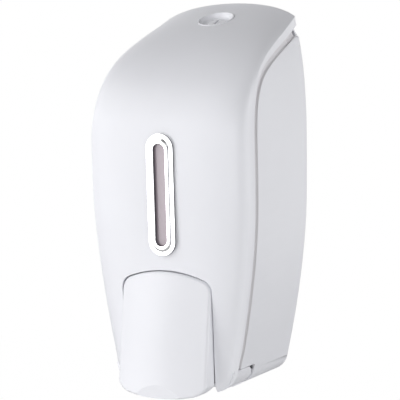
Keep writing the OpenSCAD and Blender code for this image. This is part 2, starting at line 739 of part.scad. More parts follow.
module inlet_seat() {
  color(acetal) at_mount() translate([0, -port_d, inlet_seat_z]) difference() {
    cylinder(r = neck_bore_r - run_gap, h = inlet_seat_t);
    translate([0, 0, -1]) cylinder(r = ball_seat_r, h = inlet_seat_t + 2);
  }
}

module inlet_ball() {
  color(steel) at_mount() translate([0, -port_d, ball_z]) sphere(ball_r);
}

valve_flange_r = 6.3;
valve_flange_t = 1.4;

module outlet_valve() {
  color(rubber) at_mount() translate([0, -port_d, 0]) difference() {
    rotate_extrude() polygon([[0, 0.6], [1.2, 0.6], [3.8, 3.4], [3.8, outlet_tip_z - valve_flange_t],
      [valve_flange_r, outlet_tip_z - valve_flange_t], [valve_flange_r, outlet_tip_z], [0, outlet_tip_z]]);
    translate([0, 0, 2.4]) cylinder(r = 2.6, h = outlet_tip_z);
    translate([-2, -0.15, 0]) cube([4, 0.3, 3]);
  }
}

module nozzle_tip() {
  thread_r = spout_r + run_gap;
  ledge_z = outlet_tip_z - valve_flange_t - run_gap;
  color(warm_white) at_mount() translate([0, -port_d, 0]) rotate_extrude() polygon([
    [4.6, -nozzle_hang], [6.2, -nozzle_hang], [9, 2], [9, pump_z - pump_r - 0.6],
    [thread_r, pump_z - pump_r - 0.6], [thread_r, ledge_z], [4.6, ledge_z]]);
}

// Wire wound from the chamber's back wall to the piston's rear face
module pump_spring() {
  rings = spring_turns * 14;
  sides = 8;
  mean_r = pump_bore_r - spring_wire / 2 - 0.5;
  first_d = chamber_back_d + spring_wire / 2 + run_gap;
  length = piston_back_d - chamber_back_d - spring_wire - 2 * run_gap;
  color(steel) at_mount() translate([0, 0, pump_z]) swept([for (i = [0 : rings])
    let (a = 360 * spring_turns * i / rings)
    [for (k = [0 : sides - 1])
      let (b = 360 * k / sides, r = mean_r + spring_wire / 2 * cos(b))
      [r * cos(a), -first_d - length * i / rings + spring_wire / 2 * sin(b), r * sin(a)]]]);
}

seal_groove = 3;
seal_section = 0.9;

module pump_piston() {
  piston_r = pump_bore_r - 0.15;
  mid_d = (piston_back_d + piston_front_d) / 2;
  groove_r = pump_bore_r - 2 * seal_section - run_gap;
  color(acetal) at_mount() along_y(pump_z) polygon([[0, piston_back_d], [piston_r, piston_back_d],
    [piston_r, mid_d - seal_groove / 2], [groove_r - run_gap, mid_d - seal_groove / 2],
    [groove_r - run_gap, mid_d + seal_groove / 2], [piston_r, mid_d + seal_groove / 2],
    [piston_r, piston_front_d], [rod_r, piston_front_d],
    [rod_r, head_back_d + head_t / 2], [0, head_back_d + head_t / 2]]);
}

module piston_seal() {
  mid_d = (piston_back_d + piston_front_d) / 2;
  color(rubber) at_mount() translate([0, -mid_d, pump_z]) rotate([90, 0, 0])
    o_ring(pump_bore_r - seal_section - run_gap, seal_section);
}

module plunger_head() {
  color(acetal) at_mount() translate([0, 0, pump_z]) difference() {
    intersection() {
      cylinder_y(head_back_d, head_front_d, head_r);
      translate([0, -head_front_d + head_dome_r, 0]) sphere(head_dome_r);
    }
    cylinder_y(head_back_d - 1, head_back_d + head_t / 2 + run_gap, rod_r + run_gap);
  }
}

// ---------- front cover ----------
cover_rows = 34;
cover_cols = 10;                              // on each side of the centre line
// Places across the cover, closer together towards the skirt
function spread(j) = j == cover_cols ? 1 : skirt_from * sin(90 * j / (cover_cols - 1));
cover_v = [for (j = [-cover_cols : cover_cols]) sign(j) * spread(abs(j))];

// Closed shell between an outer and an inner grid of points with the same rows and columns
module shell(outer, inner) {
  rows = len(outer);
  cols = len(outer[0]);
  half = rows * cols;
  border = concat([for (j = [0 : cols - 1]) j], [for (i = [1 : rows - 1]) i * cols + cols - 1],
    [for (j = [cols - 2 : -1 : 0]) (rows - 1) * cols + j], [for (i = [rows - 2 : -1 : 1]) i * cols]);
  polyhedron(
    points = concat([for (row = outer) each row], [for (row = inner) each row]),
    faces = concat(
      [for (i = [0 : rows - 2], j = [0 : cols - 2], k = [0, 1]) let (a = i * cols + j, b = a + cols)
        k == 0 ? [a, a + 1, b] : [a + 1, b + 1, b]],
      [for (i = [0 : rows - 2], j = [0 : cols - 2], k = [0, 1]) let (a = half + i * cols + j, b = a + cols)
        k == 0 ? [a, b, a + 1] : [a + 1, b, b + 1]],
      [for (i = [0 : len(border) - 1], k = [0, 1]) let (a = border[i], b = border[(i + 1) % len(border)])
        k == 0 ? [a, half + a, b] : [b, half + a, half + b]]));
}

module cover_shell() {
  rows = [for (i = [0 : cover_rows]) 2 * i / cover_rows];
  shell([for (u = rows) [for (v = cover_v) skin(u, v)]],
        [for (u = rows) [for (v = cover_v) sunk(u, v, wall)]]);
}

function arc(x, z, r, from, to, steps) =
  [for (i = [0 : steps]) let (a = from + (to - from) * i / steps) [x + r * cos(a), z + r * sin(a)]];

// Sides and top of a door-shaped outline, corners tangent to the arch and to the sides, from right to left
function arch_points(w, top_z) =
  let (arch_z = top_z - bar_arch_r, corner_x = w / 2 - bar_corner_r,
       rise = sqrt(pow(bar_arch_r - bar_corner_r, 2) - corner_x * corner_x), turn = atan2(rise, corner_x))
  concat(arc(corner_x, arch_z + rise, bar_corner_r, 0, turn, 8),
         arc(0, arch_z, bar_arch_r, turn, 180 - turn, 20),
    arc(-corner_x, arch_z + rise, bar_corner_r, 180 - turn, 180, 8));

// Hinge ear: the lower side of the cover carried back into the housing's notch
module hinge_ear() {
  front_d = seam_d - seam_lean + 4;
  difference() {
    intersection() {
      union() {
        translate([ear_x0, -front_d, 0]) cube([20, front_d - hinge_d, notch_top - swing_gap]);
        translate([0, -hinge_d, hinge_z]) cylinder_x(ear_x0, ear_x0 + 20, ear_r);
      }
      slab_y(hinge_d - ear_r - 1, front_d + 1) ear_outline();
    }
    translate([0, -hinge_d, hinge_z]) cylinder_x(ear_x0 - 1, pin_x1 + seat_gap, hinge_pin_d / 2);
  }
}

// The housing's own lower side outline, sunk by the ear's inset
module ear_outline() {
  zs = [for (i = [0 : 8]) corner_r * (1 - cos(i * 90 / 8)), notch_top + 2];
  polygon(concat([for (z = zs) side_at(z, ear_inset)], [[0, notch_top + 2], [0, ear_inset]]));
}

boss_x0 = bar_w / 2 + bar_gap + 1.4;
boss_x1 = boss_x0 + 3.5;
boss_r = 4.5;
boss_front_d = surface_d(boss_x1, bar_pivot_z - boss_r) - 0.5;
axle_r = 2;

module axle_boss() {
  difference() {
    union() {
      translate([0, -bar_pivot_d, bar_pivot_z]) cylinder_x(boss_x0, boss_x1, boss_r);
      translate([boss_x0, -boss_front_d, bar_pivot_z - boss_r])
        cube([boss_x1 - boss_x0, boss_front_d - bar_pivot_d, 2 * boss_r]);
    }
    at_bar_pivot() cylinder_x(boss_x0 - 1, boss_x1 + 1, axle_r + run_gap);
  }
}

slot_w = bezel_w - 2 * bezel_flange;
slot_h = bezel_h - 2 * bezel_flange;

module front_cover() {
  color(white) at_mount() {
    difference() {
      cover_shell();
      at_window() slab_y(-through / 8, through / 8) stadium(slot_w, slot_h);
      at_lock() {
        translate([0, 0, -wall - 6]) cylinder(r = cup_neck_r + run_gap, h = wall + 12);
        translate([0, 0, -cup_ledge - run_gap]) cylinder(r = cup_r + 0.2, h = 10);
      }
      slab_y(bar_pivot_d - 20, body_d + 20)
        polygon(concat(arch_points(bar_w + 2 * bar_gap, bar_top_z + bar_gap),
        [[-bar_w / 2 - bar_gap, -10], [bar_w / 2 + bar_gap, -10]]));
    }
    both_sides() {
      hinge_ear();
      axle_boss();
    }
  }
}

module push_bar_axle() {
  color(steel) at_mount() at_bar_pivot() cylinder_x(-boss_x1 + 0.5, boss_x1 - 0.5, axle_r);
}

// ---------- window ----------
module window_bezel() {
  color(chrome) at_mount() at_window() difference() {
    union() {
      slab_y(0.4, bezel_proud) stadium(bezel_w, bezel_h);
      slab_y(bezel_proud - sleeve_depth, 0.4 + eps) stadium(slot_w - 2 * seat_gap, slot_h - 2 * seat_gap);
    }
    slab_y(-through / 4, through / 4)
      stadium(slot_w - 2 * seat_gap - 2 * sleeve_wall, slot_h - 2 * seat_gap - 2 * sleeve_wall);
  }
}

module window_lens() {
  lens_w = slot_w - 2 * seat_gap - 2 * sleeve_wall - 2 * run_gap;
  lens_h = slot_h - 2 * seat_gap - 2 * sleeve_wall - 2 * run_gap;
  color(smoke) at_mount() at_window()
    slab_y(bezel_proud - lens_recess - lens_t, bezel_proud - lens_recess) stadium(lens_w, lens_h);
}

// Push-on frame that grips the sleeve behind the cover
module window_retainer() {
  front = -wall - window_sag - frame_gap;
  color(acetal) at_mount() at_window() difference() {
    slab_y(front - frame_t, front) stadium(bezel_w + 2 * frame_edge, bezel_h + 2 * frame_edge);
    slab_y(front - 3, front + 1)
      stadium(slot_w - 2 * seat_gap + 2 * run_gap, slot_h - 2 * seat_gap + 2 * run_gap);
  }
}

// ---------- lock ----------
cup_ledge = 1.5;                              // depth of the flange's seat in the hood
cup_floor = 3.4;                              // depth of the recess around the barrel
cup_neck_r = cup_r - 1.3;
cup_recess_r = cup_r - 2.6;
nut_top = wall + 0.5;                         // depth of the nut's face, under the curved hood
nut_t = 3;
cup_depth = nut_top + nut_t + 0.9;            // of the cup's threaded neck below the hood
nut_r = cup_neck_r + 3.8;                     // across the corners
barrel_top = -2.2;
key_t = 1.4;
key_w = 7.2;
key_depth = 3;
cam_r = 4;                                    // rounded end of the cam
cam_screw_r = 1.5;
cam_screw_hole = 7;
tube_foot = -lock_len + cam_t + 0.6;

module lock_cup() {
  color(warm_white) at_mount() at_lock() rotate_extrude() polygon([
    [barrel_r + run_gap, -cup_floor], [cup_recess_r, -cup_floor], [cup_recess_r, -1.6],
    [cup_recess_r + 1, -1.6], [cup_recess_r + 1, 0.3], [cup_r, 0.3], [cup_r, -cup_ledge],
    [cup_neck_r, -cup_ledge],
    [cup_neck_r, -cup_depth], [tube_r, -cup_depth], [tube_r, tube_foot], [barrel_r + run_gap, tube_foot]]);
}

module lock_nut() {
  color(steel) at_mount() at_lock() translate([0, 0, -nut_top - nut_t]) difference() {
    cylinder(r = nut_r, h = nut_t, $fn = 6);
    translate([0, 0, -1]) cylinder(r = cup_neck_r + run_gap, h = nut_t + 2);
  }
}

module lock_barrel() {
  color(warm_white) at_mount() at_lock() difference() {
    translate([0, 0, -lock_len]) cylinder(r = barrel_r, h = lock_len + barrel_top);
    translate([-key_t / 2, -key_w / 2, barrel_top - key_depth]) cube([key_t, key_w, key_depth + 1]);
    translate([0, 0, -lock_len - 1]) cylinder(r = cam_screw_r + run_gap, h = cam_screw_hole);
  }
}

module lock_cam() {
  color(steel) at_mount() at_lock() translate([0, 0, -lock_len - cam_t]) difference() {
    linear_extrude(cam_t) {
      circle(barrel_r);
      translate([0, -cam_r]) square([cam_reach - cam_r, 2 * cam_r]);
      translate([cam_reach - cam_r, 0]) circle(cam_r);
    }
    translate([0, 0, -1]) cylinder(r = cam_screw_r + run_gap, h = cam_t + 2);
  }
}

module cam_screw() {
  color(steel) at_mount() at_lock() translate([0, 0, -lock_len - cam_t]) rotate([90, 0, 0])
    pan_screw_y(cam_screw_r, cam_t + 5, 2.8, 1.6);
}

// ---------- push bar ----------
// Space inside the bar's curved face, sunk by d
module face_space(d) {
  translate([0, -bar_face_d + bar_face_r, 0]) rotate([-bar_lean, 0, 0])
    translate([0, 0, -60]) cylinder(r = bar_face_r - d, h = 200, $fn = 256);
}

// Space in front of the finger scoop at the foot of the face
module scoop_space() {
  at_z = (scoop_top - bar_face_r * sin(bar_lean)) / cos(bar_lean);
  translate([0, -bar_face_d + bar_face_r, 0]) rotate([-bar_lean, 0, 0])
    translate([0, -bar_face_r, at_z]) rotate([scoop_tilt, 0, 0])
      translate([-bar_w, -through, -through]) cube([2 * bar_w, through, through]);
}

// Outline of the bar from the front, sunk by d
module bar_outline(d) {
  half = bar_w / 2 - d;
  foot_r = bar_foot_r - d;
  foot_z = bar_foot_r - bar_hang;
  spread = asin(half / foot_r);
  polygon(concat(arch_points(2 * half, bar_top_z - d),
                 arc(0, foot_z, foot_r, 270 - spread, 270 + spread, 16)));
}

module bar_solid(d) {
  intersection() {
    slab_y(bar_rim_d - (d > 0 ? 1 : 0), bar_face_d + 10) bar_outline(d);
    face_space(d);
  }
}

bar_ear_x1 = bar_w / 2 - bar_wall - 1;
bar_ear_t = 3.5;

module bar_ear() {
  difference() {
    intersection() {
      union() {
        at_bar_pivot() cylinder_x(bar_ear_x1 - bar_ear_t, bar_ear_x1, bar_ear_r);
        translate([bar_ear_x1 - bar_ear_t, -bar_face_d, bar_pivot_z - bar_ear_r])
          cube([bar_ear_t, bar_face_d - bar_pivot_d, 2 * bar_ear_r]);
      }
      face_space(bar_wall / 2);
    }
    at_bar_pivot() cylinder_x(0, bar_w, axle_r + run_gap);
  }
}

module push_bar() {
  post_front_d = bar_face_d - bar_wall - pump_z * tan(bar_lean) + 1;
  color(white) at_mount() {
    difference() {
      bar_solid(0);
      bar_solid(bar_wall);
      scoop_space();
      // Clipped lower rear corner of the skirt
      translate([-bar_w, -bar_rim_d - 7, -bar_hang - 1]) rotate([38, 0, 0])
        translate([0, 0, -20]) cube([2 * bar_w, 30, 20]);
    }
    both_sides() bar_ear();
    translate([0, 0, pump_z]) cylinder_y(pad_d + pad_t, post_front_d, 6);
  }
}

module pusher_pad() {
  color(rubber) at_mount() translate([0, 0, pump_z]) cylinder_y(pad_d, pad_d + pad_t, 6);
}

rear_housing();
hinge_pins();
lock_keeper();
keeper_screw();
pump_bracket();
bracket_screws();
reservoir();
outlet_seal();
reservoir_lid();
lid_gasket();
pump_body();
pump_screws();
pump_cap();
inlet_seat();
inlet_ball();
outlet_valve();
nozzle_tip();
pump_spring();
pump_piston();
piston_seal();
plunger_head();
front_cover();
window_bezel();
window_lens();
window_retainer();
push_bar_axle();
lock_cup();
lock_nut();
push_bar();
pusher_pad();
lock_barrel();
lock_cam();
cam_screw();
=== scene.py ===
"""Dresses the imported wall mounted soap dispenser: pieces, finishes, studio and camera."""

import json
import logging
import math
from contextlib import contextmanager
from dataclasses import dataclass
from enum import Enum
from typing import Callable, Dict, Iterator, List, Optional, Sequence, Tuple

import bmesh
import bpy
import numpy as np
from mathutils import Matrix, Vector


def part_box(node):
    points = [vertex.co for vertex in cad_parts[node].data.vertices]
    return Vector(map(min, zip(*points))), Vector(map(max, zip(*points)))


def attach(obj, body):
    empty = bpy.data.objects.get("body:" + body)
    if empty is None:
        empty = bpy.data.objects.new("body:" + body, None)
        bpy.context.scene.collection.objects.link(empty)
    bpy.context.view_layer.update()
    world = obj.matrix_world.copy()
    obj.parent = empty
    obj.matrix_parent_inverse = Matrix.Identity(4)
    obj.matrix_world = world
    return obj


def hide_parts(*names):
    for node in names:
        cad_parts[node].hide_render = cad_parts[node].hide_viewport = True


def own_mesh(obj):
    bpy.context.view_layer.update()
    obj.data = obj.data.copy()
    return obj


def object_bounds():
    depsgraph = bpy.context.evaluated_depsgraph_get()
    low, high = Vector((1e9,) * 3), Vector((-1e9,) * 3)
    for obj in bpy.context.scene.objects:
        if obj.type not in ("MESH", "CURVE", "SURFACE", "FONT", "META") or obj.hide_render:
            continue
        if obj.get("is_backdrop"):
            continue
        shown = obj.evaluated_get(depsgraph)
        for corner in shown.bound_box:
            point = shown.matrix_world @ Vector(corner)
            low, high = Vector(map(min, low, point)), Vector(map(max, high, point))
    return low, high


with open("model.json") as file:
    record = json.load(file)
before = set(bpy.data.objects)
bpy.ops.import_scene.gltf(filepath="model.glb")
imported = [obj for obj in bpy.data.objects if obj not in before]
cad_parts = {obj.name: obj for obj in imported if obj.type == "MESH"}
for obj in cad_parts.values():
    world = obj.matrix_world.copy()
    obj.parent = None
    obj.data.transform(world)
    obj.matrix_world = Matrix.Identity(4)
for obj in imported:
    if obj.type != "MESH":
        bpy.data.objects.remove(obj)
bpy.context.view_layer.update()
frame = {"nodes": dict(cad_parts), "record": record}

LOG = logging.getLogger("dispenser")
MM = 0.001
FOOT_BELOW_MOUNT = 140.0  # millimetres from the fixing holes' centre down to the housing's foot
ONE_POINT = 1e-6  # metres within which two vertices are one
ROUNDED_ABOVE = 40.0  # degrees by which an edge turns before it is rounded
Colour = Tuple[float, float, float]
Profile = Sequence[Tuple[float, float]]
FaceTest = Callable[[Vector, Vector], bool]


# ---------------------------------------------------------------- modelling helpers
def deselect_all() -> None:
    """Leave edit mode and clear the selection."""
    active = bpy.context.view_layer.objects.active
    if active is not None and active.mode != "OBJECT":
        bpy.ops.object.mode_set(mode="OBJECT")
    bpy.ops.object.select_all(action="DESELECT")


def activate(piece: bpy.types.Object) -> None:
    """Select one piece alone and make it active.

    Args:
        piece: The piece.
    """
    deselect_all()
    piece.select_set(True)
    bpy.context.view_layer.objects.active = piece


@contextmanager
def editing(piece: bpy.types.Object, select: str = "SELECT") -> Iterator[None]:
    """Open a piece in edit mode, with all of it selected or deselected.

    Args:
        piece: The piece to edit.
        select: The select_all action to start with.
    """
    activate(piece)
    bpy.ops.object.mode_set(mode="EDIT")
    bpy.ops.mesh.select_all(action=select)
    yield
    bpy.ops.object.mode_set(mode="OBJECT")


def apply_modifier(piece: bpy.types.Object, kind: str, **settings: object) -> None:
    """Add a modifier with the given settings and apply it.

    Args:
        piece: The piece to change.
        kind: The modifier's type.
        settings: Its properties by name.
    """
    activate(piece)
    modifier = piece.modifiers.new(kind.title(), kind)
    for key, value in settings.items():
        setattr(modifier, key, value)
    bpy.ops.object.modifier_apply(modifier=modifier.name)


def round_edges(piece: bpy.types.Object, width: float) -> None:
    """Round the sharp edges of a piece.

    Args:
        piece: The piece to round.
        width: Bevel width in millimetres.
    """
    limit = math.radians(ROUNDED_ABOVE)
    apply_modifier(
        piece, "BEVEL", width=width * MM, segments=2, limit_method="ANGLE", angle_limit=limit
    )


def join(piece: bpy.types.Object, other: bpy.types.Object, operation: str) -> None:
    """Apply a boolean between a piece and another shape, and remove the other shape.

    Args:
        piece: The piece to change.
        other: The shape that it is cut or welded with.
        operation: The boolean's operation.
    """
    apply_modifier(piece, "BOOLEAN", operation=operation, solver="MANIFOLD", object=other)
    bpy.data.objects.remove(other)


def linked(name: str, data: bpy.types.ID) -> bpy.types.Object:
    """Put new data into the scene as an object.

    Args:
        name: Name of the new object.
        data: Its mesh, lamp or camera.

    Returns:
        The object.
    """
    thing = bpy.data.objects.new(name, data)
    bpy.context.scene.collection.objects.link(thing)
    return thing


def primitive(
    name: str, operator: Callable[..., object], **settings: object
) -> bpy.types.Object:
    """Add a mesh primitive on its own and name it.

    Args:
        name: Name of the new piece.
        operator: The operator that adds it.
        settings: The operator's settings.

    Returns:
        The new piece.
    """
    deselect_all()
    operator(**settings)
    piece = bpy.context.object
    piece.name = piece.data.name = name
    return piece


def cut_away(piece: bpy.types.Object, tool: bpy.types.Object) -> None:
    """Cut the tool's shape out of a piece and remove the tool."""
    join(piece, tool, "DIFFERENCE")


def fuse(piece: bpy.types.Object, addition: bpy.types.Object) -> None:
    """Weld an addition onto a piece and remove the addition."""
    join(piece, addition, "UNION")


def recalculate(piece: bpy.types.Object) -> None:
    """Merge doubles and point all faces outwards.

    Args:
        piece: The closed piece to mend.
    """
    with editing(piece):
        bpy.ops.mesh.remove_doubles(threshold=ONE_POINT)
        bpy.ops.mesh.normals_make_consistent(inside=False)
    measured = bmesh.new()
    measured.from_mesh(piece.data)
    inside_out = measured.calc_volume(signed=True) < 0
    measured.free()
    if inside_out:
        with editing(piece):
            bpy.ops.mesh.flip_normals()


def clear_slivers(piece: bpy.types.Object, width: float = 4e-6) -> None:
    """Remove slivers, doubled faces and loose points that cutting leaves.

    Args:
        piece: The piece to clean.
        width: Faces and edges thinner than this many metres go.
    """
    with editing(piece):
        bpy.ops.mesh.remove_doubles(threshold=width)
        bpy.ops.mesh.quads_convert_to_tris(quad_method="BEAUTY", ngon_method="BEAUTY")
        bpy.ops.mesh.dissolve_degenerate(threshold=width)
        bpy.ops.mesh.remove_doubles(threshold=width)
        bpy.ops.mesh.delete_loose(use_verts=True, use_edges=True, use_faces=False)
    cleaned = bmesh.new()
    cleaned.from_mesh(piece.data)
    seen: Dict[frozenset, bmesh.types.BMFace] = {}
    strays = []
    for face in cleaned.faces:
        shared = [len(edge.link_faces) for edge in face.edges]
        key = frozenset(vertex.index for vertex in face.verts)
        if key in seen:
            strays += [face, seen.pop(key)]
        elif min(shared) < 2 < max(shared):
            strays.append(face)
        else:
            seen[key] = face
    bmesh.ops.delete(cleaned, geom=strays, context="FACES")
    cleaned.to_mesh(piece.data)
    cleaned.free()


def smooth(piece: bpy.types.Object, angle: float) -> None:
    """Shade a piece smooth, with sharp edges left crisp and large faces kept flat.

    Args:
        piece: The piece to shade.
        angle: Edges sharper than this many degrees stay crisp.
    """
    activate(piece)
    bpy.ops.object.shade_smooth_by_angle(angle=math.radians(angle))
    apply_modifier(piece, "WEIGHTED_NORMAL", keep_sharp=True)


def place_vertices(piece: bpy.types.Object, points: np.ndarray) -> None:
    """Move every vertex of a piece to the given places.

    Args:
        piece: The piece whose vertices move.
        points: One row of x, y, z per vertex, in metres.
    """
    piece.data.vertices.foreach_set("co", np.asarray(points, np.float64).reshape(-1))
    piece.data.update()


def to_row(points: np.ndarray) -> np.ndarray:
    """Turn millimetres from the housing's foot into metres of the row frame."""
    return (np.asarray(points, float) - np.array([0.0, 0.0, FOOT_BELOW_MOUNT])) * MM


def grid_sheet(name: str, points: np.ndarray) -> bpy.types.Object:
    """Lay a grid primitive over rows of points.

    Args:
        name: Name of the new piece.
        points: Array of rows by columns by 3, in metres.

    Returns:
        The open sheet.
    """
    rows, columns = points.shape[:2]
    add = bpy.ops.mesh.primitive_grid_add
    sheet = primitive(name, add, x_subdivisions=columns - 1, y_subdivisions=rows - 1, size=1.0)
    place_vertices(sheet, points)
    return sheet


def ring_of_sections(name: str, sections: np.ndarray) -> bpy.types.Object:
    """Lay a torus primitive over closed sections that follow a closed path.

    Args:
        name: Name of the new piece.
        sections: Array of stations by points of the section by 3, in metres.

    Returns:
        The closed ring.
    """
    stations, around = sections.shape[:2]
    add = bpy.ops.mesh.primitive_torus_add
    ring = primitive(name, add, major_segments=stations, minor_segments=around)
    place_vertices(ring, sections)
    recalculate(ring)
    return ring


def lofted(name: str, rings: Sequence[np.ndarray]) -> bpy.types.Object:
    """Draw a solid through closed rings, with walls from ring to ring and a face at each end.

    Args:
        name: Name of the new piece.
        rings: Rings of the same number of points, in metres.

    Returns:
        The closed solid.
    """
    count = len(rings[0])
    top = (len(rings) - 1) * count
    faces: List[Tuple[int, ...]] = [tuple(range(count))[::-1]]
    for low in range(0, top, count):
        for i in range(count):
            here, following = low + i, low + (i + 1) % count
            faces.append((here, following, following + count, here + count))
    faces.append(tuple(range(top, top + count)))
    mesh = bpy.data.meshes.new(name)
    mesh.from_pydata(np.concatenate(rings).tolist(), [], faces)
    solid = linked(name, mesh)
    recalculate(solid)
    return solid


def turned(name: str, profile: Profile, place: Matrix, steps: int = 96) -> bpy.types.Object:
    """Spin a profile about a place's own vertical axis.

    Args:
        name: Name of the new piece.
        profile: Closed loop of (radius, height) in millimetres, or an open one from axis to axis.
        place: Where the axis stands, in metres.
        steps: Steps of the full turn.

    Returns:
        The turned piece.
    """
    closed = all(radius > 0.0 for radius, _ in profile)
    mesh = bpy.data.meshes.new(name)
    count = len(profile)
    edges = [(i, (i + 1) % count) for i in range(count if closed else count - 1)]
    mesh.from_pydata([(radius * MM, 0.0, height * MM) for radius, height in profile], edges, [])
    piece = linked(name, mesh)
    with editing(piece):
        bpy.ops.mesh.spin(steps=steps, angle=math.tau, center=(0, 0, 0), axis=(0, 0, 1))
        bpy.ops.mesh.select_all(action="SELECT")
        bpy.ops.mesh.remove_doubles(threshold=ONE_POINT)
        bpy.ops.mesh.normals_make_consistent(inside=False)
    mesh.transform(place)
    return piece


def rod(
    name: str, start: Vector, end: Vector, radius: float, vertices: int = 48
) -> bpy.types.Object:
    """Make a round rod between two points given in metres.

    Args:
        name: Name of the new piece.
        start: Centre of its first end.
        end: Centre of its other end.
        radius: Radius in metres.
        vertices: Vertices round it.

    Returns:
        The rod, with its place in its mesh.
    """
    span = end - start
    add = bpy.ops.mesh.primitive_cylinder_add
    piece = primitive(name, add, vertices=vertices, radius=radius, depth=span.length)
    turn = span.to_track_quat("Z", "Y").to_matrix().to_4x4()
    piece.data.transform(Matrix.Translation((start + end) / 2) @ turn)
    return piece


def block(
    name: str, low: Sequence[float], high: Sequence[float], place: Matrix
) -> bpy.types.Object:
    """Make a box between two corners.

    Args:
        name: Name of the new piece.
        low: Its lowest corner, in millimetres along the place's own axes.
        high: Its highest corner, likewise.
        place: Where those axes stand, in metres.

    Returns:
        The box, with its place in its mesh.
    """
    piece = primitive(name, bpy.ops.mesh.primitive_cube_add, size=1.0)
    corner, opposite = Vector(low) * MM, Vector(high) * MM
    size = Matrix.Diagonal((*(opposite - corner), 1.0))
    piece.data.transform(place @ Matrix.Translation((corner + opposite) / 2) @ size)
    return piece


def stadium(width: float, height: float, steps: int = 24) -> np.ndarray:
    """Points of an upright slot shape, as x and z in millimetres about its centre.

    Args:
        width: Full width.
        height: Full height.
        steps: Steps of each round end.

    Returns:
        The points, anticlockwise.
    """
    radius, straight = width / 2, (height - width) / 2
    angles = np.linspace(0, math.pi, steps + 1)
    top = np.stack([radius * np.cos(angles), straight + radius * np.sin(angles)], -1)
    return np.concatenate([top, -top])


def towards(azimuth: float, elevation: float) -> Vector:
    """Find the direction in which a lamp or the camera stands.

    Args:
        azimuth: Degrees round from the front, towards +X.
        elevation: Degrees up.

    Returns:
        The direction, one metre long.
    """
    turn, rise = math.radians(azimuth), math.radians(elevation)
    return Vector(
        (math.sin(turn) * math.cos(rise), -math.cos(turn) * math.cos(rise), math.sin(rise))
    )


def aimed(
    name: str, data: bpy.types.ID, target: Vector, away: Vector, distance: float
) -> bpy.types.Object:
    """Stand a lamp or camera off a target and turn it to face the target.

    Args:
        name: Name of the new object.
        data: The lamp's or camera's data.
        target: The point it faces.
        away: Direction from the target to it.
        distance: How far off it stands, in metres.

    Returns:
        The lamp or camera.
    """
    thing = linked(name, data)
    thing.location = target + away * distance
    thing.rotation_euler = (-away).to_track_quat("-Z", "Y").to_euler()
    return thing


# ---------------------------------------------------------------- finishes
class ShaderBench:
    """Builds one material's node tree round its Principled shader."""

    def __init__(self, name: str) -> None:
        """Start an empty material with a Principled shader.

        Args:
            name: The material's name.
        """
        self.material = bpy.data.materials.new(name)
        self.material.use_nodes = True
        self.tree = self.material.node_tree
        self.shader = self.tree.nodes["Principled BSDF"]
        self.place = self.node("ShaderNodeTexCoord").outputs["Object"]

    def node(self, kind: str, **settings: object) -> bpy.types.Node:
        """Add a node and set its properties.

        Args:
            kind: The node's type.
            settings: Its properties by name.

        Returns:
            The node.
        """
        made = self.tree.nodes.new(kind)
        for key, value in settings.items():
            setattr(made, key, value)
        return made

    def link(self, source: bpy.types.NodeSocket, target: bpy.types.NodeSocket) -> None:
        """Join two sockets."""
        self.tree.links.new(source, target)

    def stretched(self, scale: Sequence[float]) -> bpy.types.NodeSocket:
        """Stretch the object's coordinates along each axis.

        Args:
            scale: The three factors.

        Returns:
            The stretched coordinates.
        """
        mapping = self.node("ShaderNodeMapping")
        mapping.inputs["Scale"].default_value = tuple(scale)
        self.link(self.place, mapping.inputs["Vector"])
        return mapping.outputs["Vector"]

    def noise(
        self, scale: float, detail: float = 2.0, source: Optional[bpy.types.NodeSocket] = None
    ) -> bpy.types.NodeSocket:
        """Add a noise pattern.

        Args:
            scale: Patterns to a metre.
            detail: Octaves of detail.
            source: Coordinates to use in place of the object's own.

        Returns:
            The noise's factor.
        """
        made = self.node("ShaderNodeTexNoise")
        made.inputs["Scale"].default_value = scale
        made.inputs["Detail"].default_value = detail
        self.link(source or self.place, made.inputs["Vector"])
        return made.outputs["Fac"]

    def spread(self, factor: bpy.types.NodeSocket, low: float, high: float, target: str) -> None:
        """Spread a noise factor over a range and feed it to a socket of the shader.

        Args:
            factor: The noise.
            low: Least value.
            high: Greatest value.
            target: The socket's name.
        """
        ranged = self.node("ShaderNodeMapRange")
        ranged.inputs["From Min"].default_value = 0.3
        ranged.inputs["From Max"].default_value = 0.7
        ranged.inputs["To Min"].default_value = low
        ranged.inputs["To Max"].default_value = high
        self.link(factor, ranged.inputs["Value"])
        self.link(ranged.outputs["Result"], self.shader.inputs[target])

    def tint(self, factor: bpy.types.NodeSocket, first: Colour, second: Colour) -> None:
        """Let the colour drift between two near shades.

        Args:
            factor: The noise.
            first: Shade at its low end.
            second: Shade at its high end.
        """
        ramp = self.node("ShaderNodeValToRGB")
        ramp.color_ramp.elements[0].position = 0.3
        ramp.color_ramp.elements[0].color = (*first, 1.0)
        ramp.color_ramp.elements[1].position = 0.7
        ramp.color_ramp.elements[1].color = (*second, 1.0)
        self.link(factor, ramp.inputs["Fac"])
        self.link(ramp.outputs["Color"], self.shader.inputs["Base Color"])

    def relief(self, factor: bpy.types.NodeSocket, strength: float, depth: float) -> None:
        """Raise a fine relief.

        Args:
            factor: The pattern.
            strength: Bump strength.
            depth: Bump distance in metres.
        """
        bump = self.node("ShaderNodeBump")
        bump.inputs["Strength"].default_value = strength
        bump.inputs["Distance"].default_value = depth
        self.link(factor, bump.inputs["Height"])
        self.link(bump.outputs["Normal"], self.shader.inputs["Normal"])

    def constant(self, **values: object) -> None:
        """Set the shader's own sockets, with underscores for the spaces in their names."""
        for key, value in values.items():
            self.shader.inputs[key.replace("_", " ")].default_value = value


